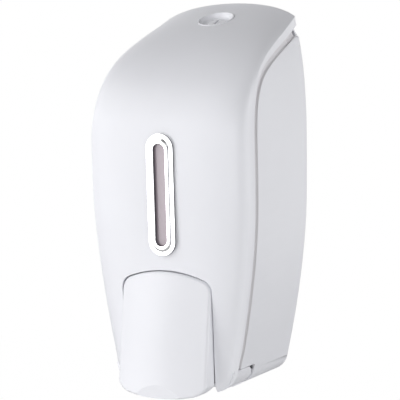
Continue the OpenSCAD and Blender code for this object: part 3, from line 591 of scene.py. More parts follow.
@dataclass(frozen=True)
class MouldedPlastic:
    """Injection or blow moulded plastic with a faint grain."""

    name: str
    colour: Colour
    drift: float = 0.012
    roughness: float = 0.4
    grain: float = 1400.0
    relief: float = 0.06
    transmission: float = 0.0
    subsurface: float = 0.0

    def build(self) -> bpy.types.Material:
        """Make the material: a slow drift of shade, uneven gloss and moulded grain.

        Returns:
            The material.
        """
        bench = ShaderBench(self.name)
        lighter = tuple(min(1.0, c * (1 + self.drift)) for c in self.colour)
        darker = tuple(c * (1 - self.drift) for c in self.colour)
        bench.tint(bench.noise(scale=22.0, detail=3.0), darker, lighter)
        gloss = bench.noise(scale=90.0, detail=4.0)
        bench.spread(gloss, self.roughness * 0.9, self.roughness * 1.12, "Roughness")
        bench.relief(bench.noise(self.grain), self.relief, depth=0.08 * MM)
        bench.constant(
            IOR=1.5,
            Transmission_Weight=self.transmission,
            Subsurface_Weight=self.subsurface,
            Subsurface_Radius=(4 * MM, 4 * MM, 4 * MM),
            Subsurface_Scale=1.0,
        )
        return bench.material


@dataclass(frozen=True)
class PlatedMetal:
    """Drawn, pressed or plated metal, brushed along one axis."""

    name: str
    colour: Colour
    roughness: float = 0.3
    brush: Tuple[float, float, float] = (1.0, 1.0, 0.08)
    relief: float = 0.1

    def build(self) -> bpy.types.Material:
        """Make the material: stretched brushing in gloss and relief over a drifting shade.

        Returns:
            The material.
        """
        bench = ShaderBench(self.name)
        lighter = tuple(min(1.0, c * 1.03) for c in self.colour)
        darker = tuple(c * 0.95 for c in self.colour)
        bench.tint(bench.noise(scale=60.0, detail=3.0), darker, lighter)
        strokes = bench.noise(1600.0, 3.0, bench.stretched(self.brush))
        bench.spread(strokes, self.roughness * 0.75, self.roughness * 1.3, "Roughness")
        bench.relief(strokes, self.relief, depth=0.05 * MM)
        bench.constant(Metallic=1.0)
        return bench.material


@dataclass(frozen=True)
class SoftRubber:
    """Silicone rubber with a dusty sheen."""

    name: str
    colour: Colour = (0.05, 0.05, 0.055)

    def build(self) -> bpy.types.Material:
        """Make the material: mottled shade, broad gloss and a fine pebble.

        Returns:
            The material.
        """
        bench = ShaderBench(self.name)
        dusty = tuple(c * 1.5 for c in self.colour)
        bench.tint(bench.noise(scale=180.0, detail=4.0), self.colour, dusty)
        bench.spread(bench.noise(scale=300.0, detail=3.0), 0.55, 0.75, "Roughness")
        bench.relief(bench.noise(2600.0), strength=0.2, depth=0.06 * MM)
        bench.constant(IOR=1.42)
        return bench.material


class Finish(Enum):
    """The finishes used on the dispenser, and two colours that paint shade, each with its record
    slot.
    """

    SHELL = (
        "shell_white",
        MouldedPlastic("satin_white_shell", (0.862, 0.868, 0.912), roughness=0.36),
    )
    LOCK = (
        "lock_plastic",
        MouldedPlastic("white_lock_plastic", (0.87, 0.876, 0.915), roughness=0.28),
    )
    CHROME = (
        "chrome_trim",
        PlatedMetal("bright_chrome", (0.95, 0.955, 0.965), roughness=0.16, relief=0.0),
    )
    LENS = (
        "lens_smoke",
        MouldedPlastic(
            "smoked_lens",
            (0.56, 0.48, 0.53),
            drift=0.02,
            roughness=0.18,
            relief=0.01,
            transmission=0.12,
        ),
    )
    TANK = (
        "tank_milky",
        MouldedPlastic(
            "milky_tank",
            (0.80, 0.83, 0.85),
            drift=0.02,
            roughness=0.5,
            grain=500.0,
            relief=0.2,
            transmission=0.25,
            subsurface=0.2,
        ),
    )
    NATURAL = (
        "natural_plastic",
        MouldedPlastic("natural_plastic", (0.76, 0.77, 0.76), drift=0.02, roughness=0.48),
    )
    ACETAL = (
        "grey_acetal",
        MouldedPlastic("grey_acetal", (0.30, 0.32, 0.35), drift=0.03, roughness=0.42),
    )
    RUBBER = ("black_rubber", SoftRubber("black_rubber"))
    # Painted shade: a dark chrome colour on the bezel's steep steps stands in for their shadow and
    # dark reflections.
    CHROME_STEP = (
        "chrome_trim",
        PlatedMetal("painted_chrome_shade", (0.24, 0.24, 0.26), roughness=0.25, relief=0.0),
    )
    # Painted shade: a darker grey for the housing's groove stands in for the shade that falls in
    # it.
    SEAM = (
        "shell_white",
        MouldedPlastic("painted_seam_shadow", (0.80, 0.785, 0.815), roughness=0.5),
    )
    STEEL = ("zinc_steel", PlatedMetal("zinc_plated_steel", (0.66, 0.67, 0.70), roughness=0.32))
    SPRING = ("spring_steel", PlatedMetal("spring_steel", (0.60, 0.61, 0.63), roughness=0.24))

    @property
    def slot(self) -> str:
        """The record's material slot."""
        return self.value[0]

    def material(self) -> bpy.types.Material:
        """The built material, made on first use."""
        recipe = self.value[1]
        return bpy.data.materials.get(recipe.name) or recipe.build()


# A slot that two finishes share belongs to the first of them.
FINISH_OF_SLOT: Dict[str, Finish] = {finish.slot: finish for finish in reversed(Finish)}
RECORD = frame["record"]
SLOT_OF_NODE: Dict[str, str] = {
    part["node"]: part["material_slot"] for part in RECORD["subparts"]
}
BODY_OF_NODE: Dict[str, str] = {
    node: body for body, nodes in RECORD["behaviour"]["bodies"].items() for node in nodes
}


def hand_over(
    piece: bpy.types.Object, node: str, finish: Finish, angle: float = 32.0
) -> bpy.types.Object:
    """Finish a piece that stands for a CAD node.

    Args:
        piece: The finished shape.
        node: The node it replaces.
        finish: Its finish.
        angle: Edges sharper than this many degrees stay crisp.

    Returns:
        The same piece, dressed and riding on its body.
    """
    clear_slivers(piece)
    smooth(piece, angle)
    piece.data.materials.clear()
    piece.data.materials.append(finish.material())
    piece.name = piece.data.name = f"{node}.dressed"
    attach(piece, BODY_OF_NODE[node])
    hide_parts(node)
    LOG.info("%s: %d faces, %s", piece.name, len(piece.data.polygons), finish.slot)
    return piece


def tint_faces(piece: bpy.types.Object, material: bpy.types.Material, test: FaceTest) -> None:
    """Give some faces of a piece a second material.

    Args:
        piece: The dressed piece.
        material: The second material.
        test: Says for a face's centre and normal whether it takes it.
    """
    piece.data.materials.append(material)
    slot = len(piece.data.materials) - 1
    for face in piece.data.polygons:
        if test(face.center, face.normal):
            face.material_index = slot


def merged_copy(node: str, limit: float = 0.8) -> bpy.types.Object:
    """Copy a CAD node with its doubles merged and its flat faces joined.

    Args:
        node: The CAD node.
        limit: Faces meeting within this many degrees are joined.

    Returns:
        The copy, not dressed yet.
    """
    piece = linked(f"{node}.copy", frame["nodes"][node].data.copy())
    with editing(piece):
        bpy.ops.mesh.remove_doubles(threshold=2e-6)
        bpy.ops.mesh.dissolve_limited(angle_limit=math.radians(limit))
    return piece


def softened(node: str, width: float = 0.0) -> bpy.types.Object:
    """Copy a CAD node, merge its faces, round its edges and let the copy stand for it.

    Args:
        node: The CAD node.
        width: Rounding in millimetres, or 0 for none.

    Returns:
        The copy, dressed in its slot's own finish.
    """
    piece = merged_copy(node)
    if width > 0:
        round_edges(piece, width)
    return hand_over(piece, node, FINISH_OF_SLOT[SLOT_OF_NODE[node]])


# ---------------------------------------------------------------- the outer form
@dataclass(frozen=True)
class OuterForm:
    """Curved outside of cover and housing, in millimetres from the wall and the housing's foot."""

    width: float = 108.0
    height: float = 240.0
    depth: float = 100.0
    wall: float = 2.5
    belly_z: float = 113.0
    shoulder_z: float = 224.6
    top_narrowing: float = 7.8
    foot_narrowing: float = 15.4
    top_power: float = 3.62
    foot_power: float = 1.67
    corner_radius: float = 10.0
    seam_depth: float = 82.6
    seam_lean: float = 5.0
    seam_turn_z: float = 154.0
    heel_z: float = 13.0
    heel_run: float = 8.0
    heel_at: float = 1.75
    rim_run: float = 56.2
    rim_drop: float = 25.4
    rim_pull: float = 44.7
    nose_z: float = 155.0
    chin_depth: float = 90.5
    hood_run: float = 18.0
    hood_drop: float = 12.3
    hood_pull: float = 50.4
    chin_pull_top: float = 29.0
    chin_pull_foot: float = 46.7
    side_pull: Tuple[float, float, float] = (0.62, 0.89, 0.70)
    depth_pull: Tuple[float, float, float] = (0.32, 0.9, 0.71)
    edge_pull: Tuple[float, float, float] = (0.91, 1.0, 1.0)
    skirt_height: float = 6.0
    skirt_least: float = 0.8
    skirt_from: float = 0.95

    @classmethod
    def from_frame(cls) -> "OuterForm":
        """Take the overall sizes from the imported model.

        Returns:
            The form.
        """
        low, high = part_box("rear_housing")
        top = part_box("front_cover")[1].z
        return cls(width=(high.x - low.x) / MM, height=top / MM + FOOT_BELOW_MOUNT)

    @staticmethod
    def bezier(points: Sequence[Tuple[float, float]], t: np.ndarray) -> np.ndarray:
        """Follow a cubic curve.

        Args:
            points: Its four control points.
            t: Places along it, 0 to 1.

        Returns:
            One point for each place.
        """
        p, t = np.asarray(points, float), t[:, None]
        rest = 1 - t
        return rest**3 * p[0] + 3 * rest**2 * t * p[1] + 3 * rest * t * t * p[2] + t**3 * p[3]

    def half_width(self, z: np.ndarray) -> np.ndarray:
        """Find half the width, with the long bottom edge rounded.

        Args:
            z: Heights above the foot.

        Returns:
            The half widths.
        """
        up = np.maximum(0.0, (z - self.belly_z) / (self.shoulder_z - self.belly_z))
        down = np.maximum(0.0, (self.belly_z - z) / self.belly_z)
        low = np.maximum(0.0, self.corner_radius - np.maximum(0.0, z))
        side = self.width / 2 - self.top_narrowing * up**self.top_power
        side = side - self.foot_narrowing * down**self.foot_power
        return side - self.corner_radius + np.sqrt(np.maximum(self.corner_radius**2 - low**2, 0.0))

    def side_at(self, z: float, depth: float) -> Tuple[float, float]:
        """Move a point of the side's section inwards.

        Args:
            z: Height on the side's surface.
            depth: How far it moves in, square to the surface.

        Returns:
            The point's x and z.
        """
        step = 0.05
        below, here, above = self.half_width(np.array([z - step, z, z + step]))
        slope = float(above - below) / (2 * step)
        length = math.hypot(1.0, slope)
        return float(here) - depth / length, z + depth * slope / length

    def centre_line(self, u: np.ndarray) -> np.ndarray:
        """Follow the centre line of the front.

        Args:
            u: Places along it: 0 at the wall, 1 at the nose, 2 at the foot.

        Returns:
            One row of y and z for each place.
        """
        hood = self.bezier(
            [
                (0, self.height),
                (-self.hood_run, self.height - self.hood_drop),
                (-self.depth, self.nose_z + self.hood_pull),
                (-self.depth, self.nose_z),
            ],
            np.clip(u, 0, 1),
        )
        chin = self.bezier(
            [
                (-self.depth, self.nose_z),
                (-self.depth, self.nose_z - self.chin_pull_top),
                (-self.chin_depth, self.chin_pull_foot),
                (-self.chin_depth, 0),
            ],
            np.clip(u - 1, 0, 1),
        )
        return np.where((u <= 1)[:, None], hood, chin)

    def rim(self, u: np.ndarray) -> np.ndarray:
        """Follow the rim of the cover.

        Args:
            u: Places along it, as on the centre line.

        Returns:
            One row of y and z for each place.
        """
        top = self.bezier(
            [
                (0, self.shoulder_z),
                (-self.rim_run, self.shoulder_z - self.rim_drop),
                (-self.seam_depth, self.seam_turn_z + self.rim_pull),
                (-self.seam_depth, self.seam_turn_z),
            ],
            np.clip(u, 0, 1),
        )
        fall = (u - 1) / (self.heel_at - 1)
        side = np.stack(
            [
                -self.seam_depth + self.seam_lean * fall,
                self.seam_turn_z + (self.heel_z - self.seam_turn_z) * fall,
            ],
            1,
        )
        turn = (u - self.heel_at) / (2 - self.heel_at) * math.pi / 2
        foot = np.stack(
            [
                -self.seam_depth + self.seam_lean - self.heel_run * (1 - np.cos(turn)),
                self.heel_z * (1 - np.sin(turn)),
            ],
            1,
        )
        return np.where((u <= 1)[:, None], top, np.where((u <= self.heel_at)[:, None], side, foot))

    def rim_inward(self, u: np.ndarray) -> np.ndarray:
        """Find the direction from the rim into the housing.

        Args:
            u: Places along the rim.

        Returns:
            One row of y and z for each place.
        """
        step = 1e-3
        along = self.rim(np.minimum(2, u + step)) - self.rim(np.maximum(0, u - step))
        along /= np.linalg.norm(along, axis=1)[:, None]
        return np.stack([-along[:, 1], along[:, 0]], 1)

    @staticmethod
    def bend(values: Sequence[float], u: np.ndarray) -> np.ndarray:
        """Let a value run from top over nose to foot."""
        return np.interp(u, [0, 1, 2], values)

    def skin(self, u: np.ndarray, v: np.ndarray) -> np.ndarray:
        """Outer surface of the cover.

        Args:
            u: Places along the front, 0 to 2.
            v: Places across it, -1 at the left rim to 1 at the right.

        Returns:
            Array of len(u) by len(v) by 3, in millimetres.
        """
        centre, base, inward = self.centre_line(u), self.rim(u), self.rim_inward(u)
        height = self.skirt_least + (self.skirt_height - self.skirt_least) * np.maximum(0, 1 - u)
        rim = base - height[:, None] * inward
        across = np.minimum(1.0, np.abs(v) / self.skirt_from)
        fall = np.maximum(0.0, np.abs(v) - self.skirt_from) / (1 - self.skirt_from)
        pull = 3 * (1 - across) * across**2
        near = 3 * (1 - across) ** 2 * across
        shape = near * self.bend(self.side_pull, u)[:, None] + across**3
        shape = shape + pull * self.bend(self.edge_pull, u)[:, None]
        x = self.half_width(base[:, 1])[:, None] * shape
        s = pull * (1 - self.bend(self.depth_pull, u))[:, None] + across**3
        reach, skirt = rim - centre, height[:, None] * fall
        y = centre[:, :1] + reach[:, :1] * s + skirt * inward[:, :1]
        z = centre[:, 1:] + reach[:, 1:] * s + skirt * inward[:, 1:]
        return np.stack([np.sign(v) * x, y, z], -1)

    def sunk(self, u: np.ndarray, outer: np.ndarray, depth: float) -> np.ndarray:
        """The surface moved inwards, kept in front of the rim and of the wall.

        Args:
            u: Places along the front of the surface's rows.
            outer: The surface, rows by columns by 3.
            depth: How far it moves, in millimetres.

        Returns:
            The inner surface, of the same shape.
        """
        du = np.gradient(outer, axis=0)
        dv = np.gradient(outer, axis=1)
        normal = np.cross(du, dv)
        normal /= np.maximum(np.linalg.norm(normal, axis=-1, keepdims=True), 1e-9)
        middle = normal[len(u) // 2, outer.shape[1] // 2]
        normal *= -1.0 if middle[1] > 0 else 1.0
        inner = outer - depth * normal
        inward, rim = self.rim_inward(u), self.rim(u)
        past = np.maximum(0.0, np.einsum("rck,rk->rc", inner[:, :, 1:] - rim[:, None, :], inward))
        inner[:, :, 1] -= past * inward[:, None, 0]
        inner[:, :, 2] -= past * inward[:, None, 1]
        inner[:, :, 1] = np.minimum(0.0, inner[:, :, 1])
        return inner


# ---------------------------------------------------------------- front cover
@dataclass
class FrontCover:
    """The curved cover that tips forward, with its hinge ears and axle bosses."""

    form: OuterForm
    rows: int = 150
    columns: int = 40
    crease: Tuple[float, ...] = (-0.02, -0.01, -0.004, 0.005, 0.012, 0.022, 0.036)
    crease_reach: float = 0.03
    crease_passes: int = 3
    flank_passes: int = 18
    flank_start: float = 0.5
    flank_step: float = 0.03
    flank_edge: float = 0.8
    bar_gap: float = 0.6
    boss_gap: float = 2.8
    boss_length: float = 3.5
    boss_front: float = 90.1
    cup_neck: float = 10.75
    cup_seat: float = 12.2
    slot: Tuple[float, float] = (13.6, 69.6)
    hinge_depth: float = 60.0
    hinge_height: float = 6.5
    ear_radius: float = 6.0
    ear_inset: float = 0.9
    ear_reach: float = 6.6
    ear_short: float = 0.4
    ear_overlap: float = 4.0
    ear_bow: float = 10.0
    ear_least: float = 0.3

    def across(self) -> np.ndarray:
        """Space the places across the cover, close together at the shoulder's crease.

        Returns:
            The places, from -1 to 1.
        """
        edge = self.form.skirt_from
        middle = edge * np.sin(np.linspace(0, math.pi / 2, self.columns))
        half = np.unique(np.concatenate([middle, edge + np.array(self.crease), [1.0]]))
        return np.concatenate([-half[:0:-1], half])

    def shell(self) -> bpy.types.Object:
        """Make the shell: a laid grid, thickened, with its inner side set by the form.

        Returns:
            The closed shell.
        """
        u = np.linspace(0, 2, self.rows)
        v = self.across()
        outer = self.form.skin(u, v)
        crease_from = self.form.skirt_from - self.crease_reach
        self.ease(outer, u >= 0, v, crease_from, self.crease_passes)
        for k in range(self.flank_passes):
            self.ease(outer, u > self.flank_start + self.flank_step * k, v, self.flank_edge, 1)
        inner = self.form.sunk(u, outer, self.form.wall)
        sheet = grid_sheet("cover", to_row(outer))
        apply_modifier(sheet, "SOLIDIFY", thickness=self.form.wall * MM, offset=-1.0)
        count = len(u) * len(v)
        points = np.concatenate([to_row(outer).reshape(count, 3), to_row(inner).reshape(count, 3)])
        place_vertices(sheet, points)
        return sheet

    @staticmethod
    def ease(
        surface: np.ndarray, rows: np.ndarray, v: np.ndarray, start: float, passes: int
    ) -> None:
        """Soften the shoulder's crease in place.

        Args:
            surface: The surface, rows by columns by 3.
            rows: Which rows are softened.
            v: Places of the columns.
            start: Columns from this place nearly to the rim are softened.
            passes: How often neighbours are averaged.
        """
        end = 0.98
        columns = np.flatnonzero((np.abs(v) > start) & (np.abs(v) < end))
        rows = np.flatnonzero(rows)[:, None]
        for _ in range(passes):
            eased = 0.25 * surface[rows, columns - 1] + 0.5 * surface[rows, columns]
            surface[rows, columns] = eased + 0.25 * surface[rows, columns + 1]

    def build(
        self, bar: "PushBar", window: "LevelWindow", lock: "KeyLock"
    ) -> bpy.types.Object:
        """Cut the shell's openings and join ears and bosses.

        Args:
            bar: The push bar whose opening is cut.
            window: The window whose slot is cut.
            lock: The lock whose bore is cut.

        Returns:
            The dressed cover.
        """
        cover = self.shell()
        recalculate(cover)
        cut_away(cover, window.slot_tool(self.slot))
        for tool in lock.bore_tools(self.cup_neck, self.cup_seat):
            cut_away(cover, tool)
        cut_away(cover, bar.opening_tool(self.bar_gap))
        for side in (-1.0, 1.0):
            fuse(cover, self.ear(side))
            fuse(cover, self.boss(side, bar))
        clear_slivers(cover, width=1e-5)
        return hand_over(cover, "front_cover", Finish.SHELL, angle=30.0)

    def ear(self, side: float) -> bpy.types.Object:
        """Make one hinge ear, which its pin runs into.

        Args:
            side: -1 for the left ear, 1 for the right.

        Returns:
            The ear, ready to be welded on.
        """
        top = 2 * self.hinge_height - self.ear_short
        front = -(self.form.seam_depth - self.form.seam_lean + self.ear_overlap)
        inner = self.form.side_at(self.hinge_height, 0.0)[0] - self.ear_reach
        bow = self.ear_bow * (1 - np.cos(np.linspace(0.12, math.pi / 2, 9)))
        rings = []
        for z in [*bow, top - 0.3, top]:
            reach = max(0.0, self.ear_radius**2 - (z - self.hinge_height) ** 2)
            back = -self.hinge_depth + math.sqrt(reach)
            outside = self.form.side_at(z, 0.0)[0] - self.ear_inset
            if outside < inner + self.ear_least:
                continue
            corners = [(inner, front), (outside, front), (outside, back), (inner, back)]
            rings.append(to_row(np.array([(side * x, y, z) for x, y in corners])))
        return lofted("ear", rings)

    def boss(self, side: float, bar: "PushBar") -> bpy.types.Object:
        """Make one boss that carries the bar's axle.

        Args:
            side: -1 for the left boss, 1 for the right.
            bar: The push bar that hangs on it.

        Returns:
            The boss, ready to be welded on.
        """
        near = side * (bar.width / 2 + self.boss_gap)
        far = near + side * self.boss_length
        return bar.axle_lug("boss", near, far, self.boss_front)


# ---------------------------------------------------------------- push bar
@dataclass
class PushBar:
    """The door-shaped bar that is pressed with the palm."""

    width: float = 60.0
    top_z: float = 73.0
    arch_radius: float = 70.0
    corner_radius: float = 8.0
    foot_radius: float = 123.0
    hang: float = 3.0
    face_radius: float = 83.0
    face_depth: float = 104.5
    lean: float = 6.2
    skirt: float = 17.0
    wall: float = 2.4
    edge_radius: float = 1.8
    corner_up: float = 4.8
    corner_in: float = 8.0
    clip_depth: float = 97.0
    corner_lean: float = 2.4
    rim_chamfer: Tuple[float, float] = (0.4, 0.3)
    shrink: Tuple[float, ...] = (0.9, 0.78, 0.64, 0.48, 0.3, 0.12)
    pivot_depth: float = 86.0
    pivot_z: float = 62.0
    lug_radius: float = 4.5
    ear_length: float = 3.5
    ear_front: float = 92.0
    post_radius: float = 6.0
    scoop_top: float = 5.3
    scoop_tilt: float = 12.5
    clip_rise: float = 38.0
    pump_z: float = 22.0

    @staticmethod
    def arc(
        x: float, z: float, radius: float, start: float, end: float, steps: int
    ) -> List[Tuple[float, float]]:
        """Trace an arc.

        Args:
            x: Its centre across.
            z: Its centre's height.
            radius: Its radius.
            start: Angle of its first point in degrees.
            end: Angle of its last point in degrees.
            steps: Steps along it.

        Returns:
            Its points.
        """
        angles = np.radians(np.linspace(start, end, steps + 1))
        return [(x + radius * math.cos(a), z + radius * math.sin(a)) for a in angles]

    def arch(self, width: float, top: float) -> List[Tuple[float, float]]:
        """Trace the sides and top of the door shape from right to left.

        Args:
            width: Full width.
            top: Height of its top.

        Returns:
            Its points as x and z.
        """
        arch_z = top - self.arch_radius
        corner_x = width / 2 - self.corner_radius
        rise = math.sqrt((self.arch_radius - self.corner_radius) ** 2 - corner_x**2)
        turn = math.degrees(math.atan2(rise, corner_x))
        points = self.arc(corner_x, arch_z + rise, self.corner_radius, 0, turn, 14)
        points += self.arc(0, arch_z, self.arch_radius, turn, 180 - turn, 48)[1:-1]
        return points + self.arc(-corner_x, arch_z + rise, self.corner_radius, 180 - turn, 180, 14)

    def outline(self, inset: float) -> np.ndarray:
        """Closed outline from the front, moved inwards.

        Args:
            inset: How far it is moved inwards, in millimetres.

        Returns:
            Its points as x and z.
        """
        half = self.width / 2 - inset
        radius = self.foot_radius - inset
        centre = self.foot_radius - self.hang
        foot_x = self.width / 2 - self.corner_in - 0.4 * inset
        spread = math.degrees(math.asin(foot_x / radius))
        arch = self.arch(2 * half, self.top_z - inset)
        foot = self.arc(0, centre, radius, 270 - spread, 270 + spread, 36)
        t = np.linspace(0, 1, 9)[:, None]
        start = np.array([half, self.corner_up])
        middle = np.array([half - self.corner_lean, 0.3 + 0.7 * inset])
        corner = (1 - t) ** 2 * start + 2 * (1 - t) * t * middle + t**2 * np.array(foot[-1])
        drops = np.linspace(arch[0][1], self.corner_up, 26)[1:-1]
        left = [(-half, z) for z in drops] + [(-x, z) for x, z in corner[:-1]]
        right = [(x, z) for x, z in corner[-2::-1]] + [(half, z) for z in drops[::-1]]
        return np.array(arch + left + foot + right)

    def face_y(self, x: np.ndarray, z: np.ndarray, sunk: float = 0.0) -> np.ndarray:
        """Find the depth of the curved, leaning face.

        Args:
            x: Places across.
            z: Heights.
            sunk: How far the face lies inside the outer one.

        Returns:
            The depths.
        """
        lean = math.radians(self.lean)
        radius = self.face_radius - sunk
        # The cylinder's axis leans about the foot, so its section at height z is an ellipse.
        reach = np.sqrt(np.maximum(radius**2 - x**2, 0.0))
        axis = -self.face_depth + self.face_radius
        return axis - (reach - z * math.sin(lean)) / math.cos(lean)

    def rim_y(self, z: np.ndarray) -> np.ndarray:
        """Find the depth of the skirt's rear edge, clipped at its lower corner.

        Args:
            z: Heights along the skirt.

        Returns:
            The depths.
        """
        back = -(self.face_depth - self.skirt)
        clip = -self.clip_depth + (z + self.hang + 1) / math.tan(math.radians(self.clip_rise))
        return np.minimum(back, clip)

    def build(self) -> bpy.types.Object:
        """Make the bar as nested loops over its inside, round its rim and over its outside.

        Returns:
            The dressed bar.
        """
        inset, run = self.rim_chamfer
        rim = [(self.wall, 0.0), (self.wall - inset, run), (inset, run), (0.0, 0.0)]
        loops = self.face_loops(self.wall)[::-1]
        for inwards, behind in rim:
            points = self.outline(inwards)
            loops.append(self.loop(points, self.rim_y(points[:, 1]) + behind))
        loops += self.face_loops(0.0)
        bar = lofted("bar", [to_row(points) for points in loops])
        cut_away(bar, self.scoop_tool())
        for side in (-1.0, 1.0):
            fuse(bar, self.ear(side))
        fuse(bar, self.post())
        return hand_over(bar, "push_bar", Finish.SHELL, angle=9.0)

    @staticmethod
    def loop(points: np.ndarray, y: np.ndarray) -> np.ndarray:
        """Join a loop's x and z with its depths."""
        return np.stack([points[:, 0], y, points[:, 1]], -1)

    def face_loops(self, sunk: float) -> List[np.ndarray]:
        """Lay loops over the face, from its rounded edge to its middle.

        Args:
            sunk: How far the face lies inside the outer one.

        Returns:
            The loops, from the edge inwards.
        """
        loops = []
        for angle in np.linspace(0, math.pi / 2, 7):
            points = self.outline(sunk + self.edge_radius * (1 - math.cos(angle)))
            drop = self.edge_radius * (1 - math.sin(angle))
            loops.append(self.loop(points, self.face_y(points[:, 0], points[:, 1], sunk) + drop))
        last = self.outline(sunk + self.edge_radius)
        centre = np.array([0.0, (self.top_z - self.hang) / 2])
        for scale in self.shrink:
            points = centre + (last - centre) * scale
            loops.append(self.loop(points, self.face_y(points[:, 0], points[:, 1], sunk)))
        return loops

    def scoop_tool(self) -> bpy.types.Object:
        """Make the block whose face cuts the shallow finger scoop at the foot.

        Returns:
            The block.
        """
        lean = math.radians(self.lean)
        at = (self.scoop_top - self.face_radius * math.sin(lean)) / math.cos(lean)
        turn = Matrix.Rotation(math.radians(-self.lean), 4, "X")
        tilt = Matrix.Rotation(math.radians(self.scoop_tilt), 4, "X")
        axis = Vector(to_row(np.array([0.0, -self.face_depth + self.face_radius, 0.0])))
        shift = Matrix.Translation(Vector((0, -self.face_radius * MM, at * MM)))
        place = Matrix.Translation(axis) @ turn @ shift @ tilt
        return block("scoop", (-60.0, -40.0, -40.0), (60.0, 0.0, 0.0), place)

    def opening_tool(self, gap: float) -> bpy.types.Object:
        """Make the door-shaped tool that opens the cover round the bar.

        Args:
            gap: Space round the bar, in millimetres.

        Returns:
            The tool.
        """
        behind, ahead, below = -66.0, -120.0, -10.0
        arch = self.arch(self.width + 2 * gap, self.top_z + gap)
        half = self.width / 2 + gap
        outline = np.array(arch + [(-half, below), (half, below)])
        rings = [to_row(np.array([(x, y, z) for x, z in outline])) for y in (behind, ahead)]
        return lofted("opening", rings)

    def axle_lug(self, name: str, near: float, far: float, front: float) -> bpy.types.Object:
        """Make a lug that is round behind the axle and straight in front of it.

        Args:
            name: Name of the new piece.
            near: Its end nearer the middle, across.
            far: Its other end.
            front: Depth of its front, inside the shell that carries it.

        Returns:
            The lug, ready to be welded on.
        """
        section = self.arc(-self.pivot_depth, self.pivot_z, self.lug_radius, -90, 90, 12)
        section += [(-front, self.pivot_z + self.lug_radius)]
        section += [(-front, self.pivot_z - self.lug_radius)]
        rings = [to_row(np.array([(x, y, z) for y, z in section])) for x in (near, far)]
        return lofted(name, rings)

    def ear(self, side: float) -> bpy.types.Object:
        """Make one ear that hangs on the axle."""
        far = side * (self.width / 2 - self.wall - 1)
        return self.axle_lug("bar_ear", far - side * self.ear_length, far, self.ear_front)

    def post(self) -> bpy.types.Object:
        """Make the post behind the face that carries the pusher pad.

        Returns:
            The post, ready to be welded on.
        """
        low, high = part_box("pusher_pad")
        overlap = 1.0
        leant = self.pump_z * math.tan(math.radians(self.lean))
        front = -self.face_depth + self.wall + leant - overlap
        start = Vector((0, low.y, (low.z + high.z) / 2))
        end = Vector((0, front * MM, start.z))
        return rod("post", start, end, self.post_radius * MM)


# ---------------------------------------------------------------- level window
@dataclass
class LevelWindow:
    """The chrome framed slot that shows the soap's level."""

    depth: float = 98.18
    height: float = 120.0
    lean: float = 3.675
    width: float = 18.1
    length: float = 73.9
    drop: float = 0.6
    lip_half: float = 6.4
    end_inset: float = 0.9
    step_steepness: float = 0.7
    lens_size: Tuple[float, float] = (8.5, 64.5)

    def place(self) -> Matrix:
        """Where the window's own frame stands: its -Y looks out of the cover."""
        spot = Vector(to_row(np.array([0.0, -self.depth, self.height])))
        return Matrix.Translation(spot) @ Matrix.Rotation(math.radians(self.lean), 4, "X")

    def slot_tool(self, size: Tuple[float, float]) -> bpy.types.Object:
        """Make the tool that cuts the cover's slot.

        Args:
            size: The slot's width and height in millimetres.

        Returns:
            The tool.
        """
        behind, ahead = 25.0, -25.0
        outline = stadium(*size) * MM
        rings = [np.array([(x, y * MM, z) for x, z in outline]) for y in (behind, ahead)]
        tool = lofted("slot", rings)
        tool.data.transform(self.place())
        return tool

    def build(self) -> None:
        """Make the bezel, its lens and the frame behind the cover."""
        self.bezel()
        self.lens()
        softened("window_retainer", 0.35)

    def bezel(self) -> bpy.types.Object:
        """Sweep the bezel's section round the window and paint shade onto its steep steps.

        Returns:
            The dressed bezel.
        """
        sections = []
        straight = (self.length - self.width) / 2
        for half, out in self.bezel_profile():
            run = straight - (self.end_inset if half < self.lip_half else 0.0)
            outline = stadium(2 * half, 2 * (run + half), 32) * MM
            sections.append([(x, -out * MM, z - self.drop * MM) for x, z in outline])
        piece = ring_of_sections("bezel", np.array(sections).transpose(1, 0, 2))
        place = self.place()
        piece.data.transform(place)
        hand_over(piece, "window_bezel", Finish.CHROME, angle=24.0)
        outwards = (place.to_3x3() @ Vector((0, -1, 0))).normalized()

        def takes_step_shade(_: Vector, normal: Vector) -> bool:
            """Whether a face is steep against the window's plane, and so takes the painted shade.
            """
            return abs(normal.dot(outwards)) < self.step_steepness

        # The steep steps take a dark colour: painted shade and dark reflection.
        tint_faces(piece, Finish.CHROME_STEP.material(), takes_step_shade)
        return piece

    def lens(self) -> bpy.types.Object:
        """Make the lens as a slot shape with a softly rounded edge.

        Returns:
            The dressed lens.
        """
        rings = []
        width, length = self.lens_size
        for inset, out in ((0.0, -3.0), (0.0, -0.6), (0.12, -0.3), (0.5, -0.1), (1.2, 0.0)):
            outline = stadium(width - 2 * inset, length - 2 * inset) * MM
            rings.append(np.array([(x, -out * MM, z) for x, z in outline]))
        piece = lofted("lens", rings)
        piece.data.transform(self.place())
        return hand_over(piece, "window_lens", Finish.LENS, angle=40.0)

    @staticmethod
    def bezel_profile() -> Profile:
        """List the section of the flat flange, the raised inner lip and the sleeve.

        Returns:
            Half widths and heights, in millimetres.
        """
        flange = [(9.05, 0.2), (9.05, 1.15), (9.0, 1.28), (8.88, 1.37), (8.7, 1.4), (6.45, 1.4)]
        lip = [(5.95, 2.25), (5.85, 2.35), (5.7, 2.4), (4.15, 2.4), (4.0, 2.34), (3.9, 2.2)]
        sleeve = [(3.8, 0.5), (3.85, 0.3), (4.32, 0.25), (4.3, -6.6), (6.5, -6.6), (6.5, 0.2)]
        return flange + lip + sleeve


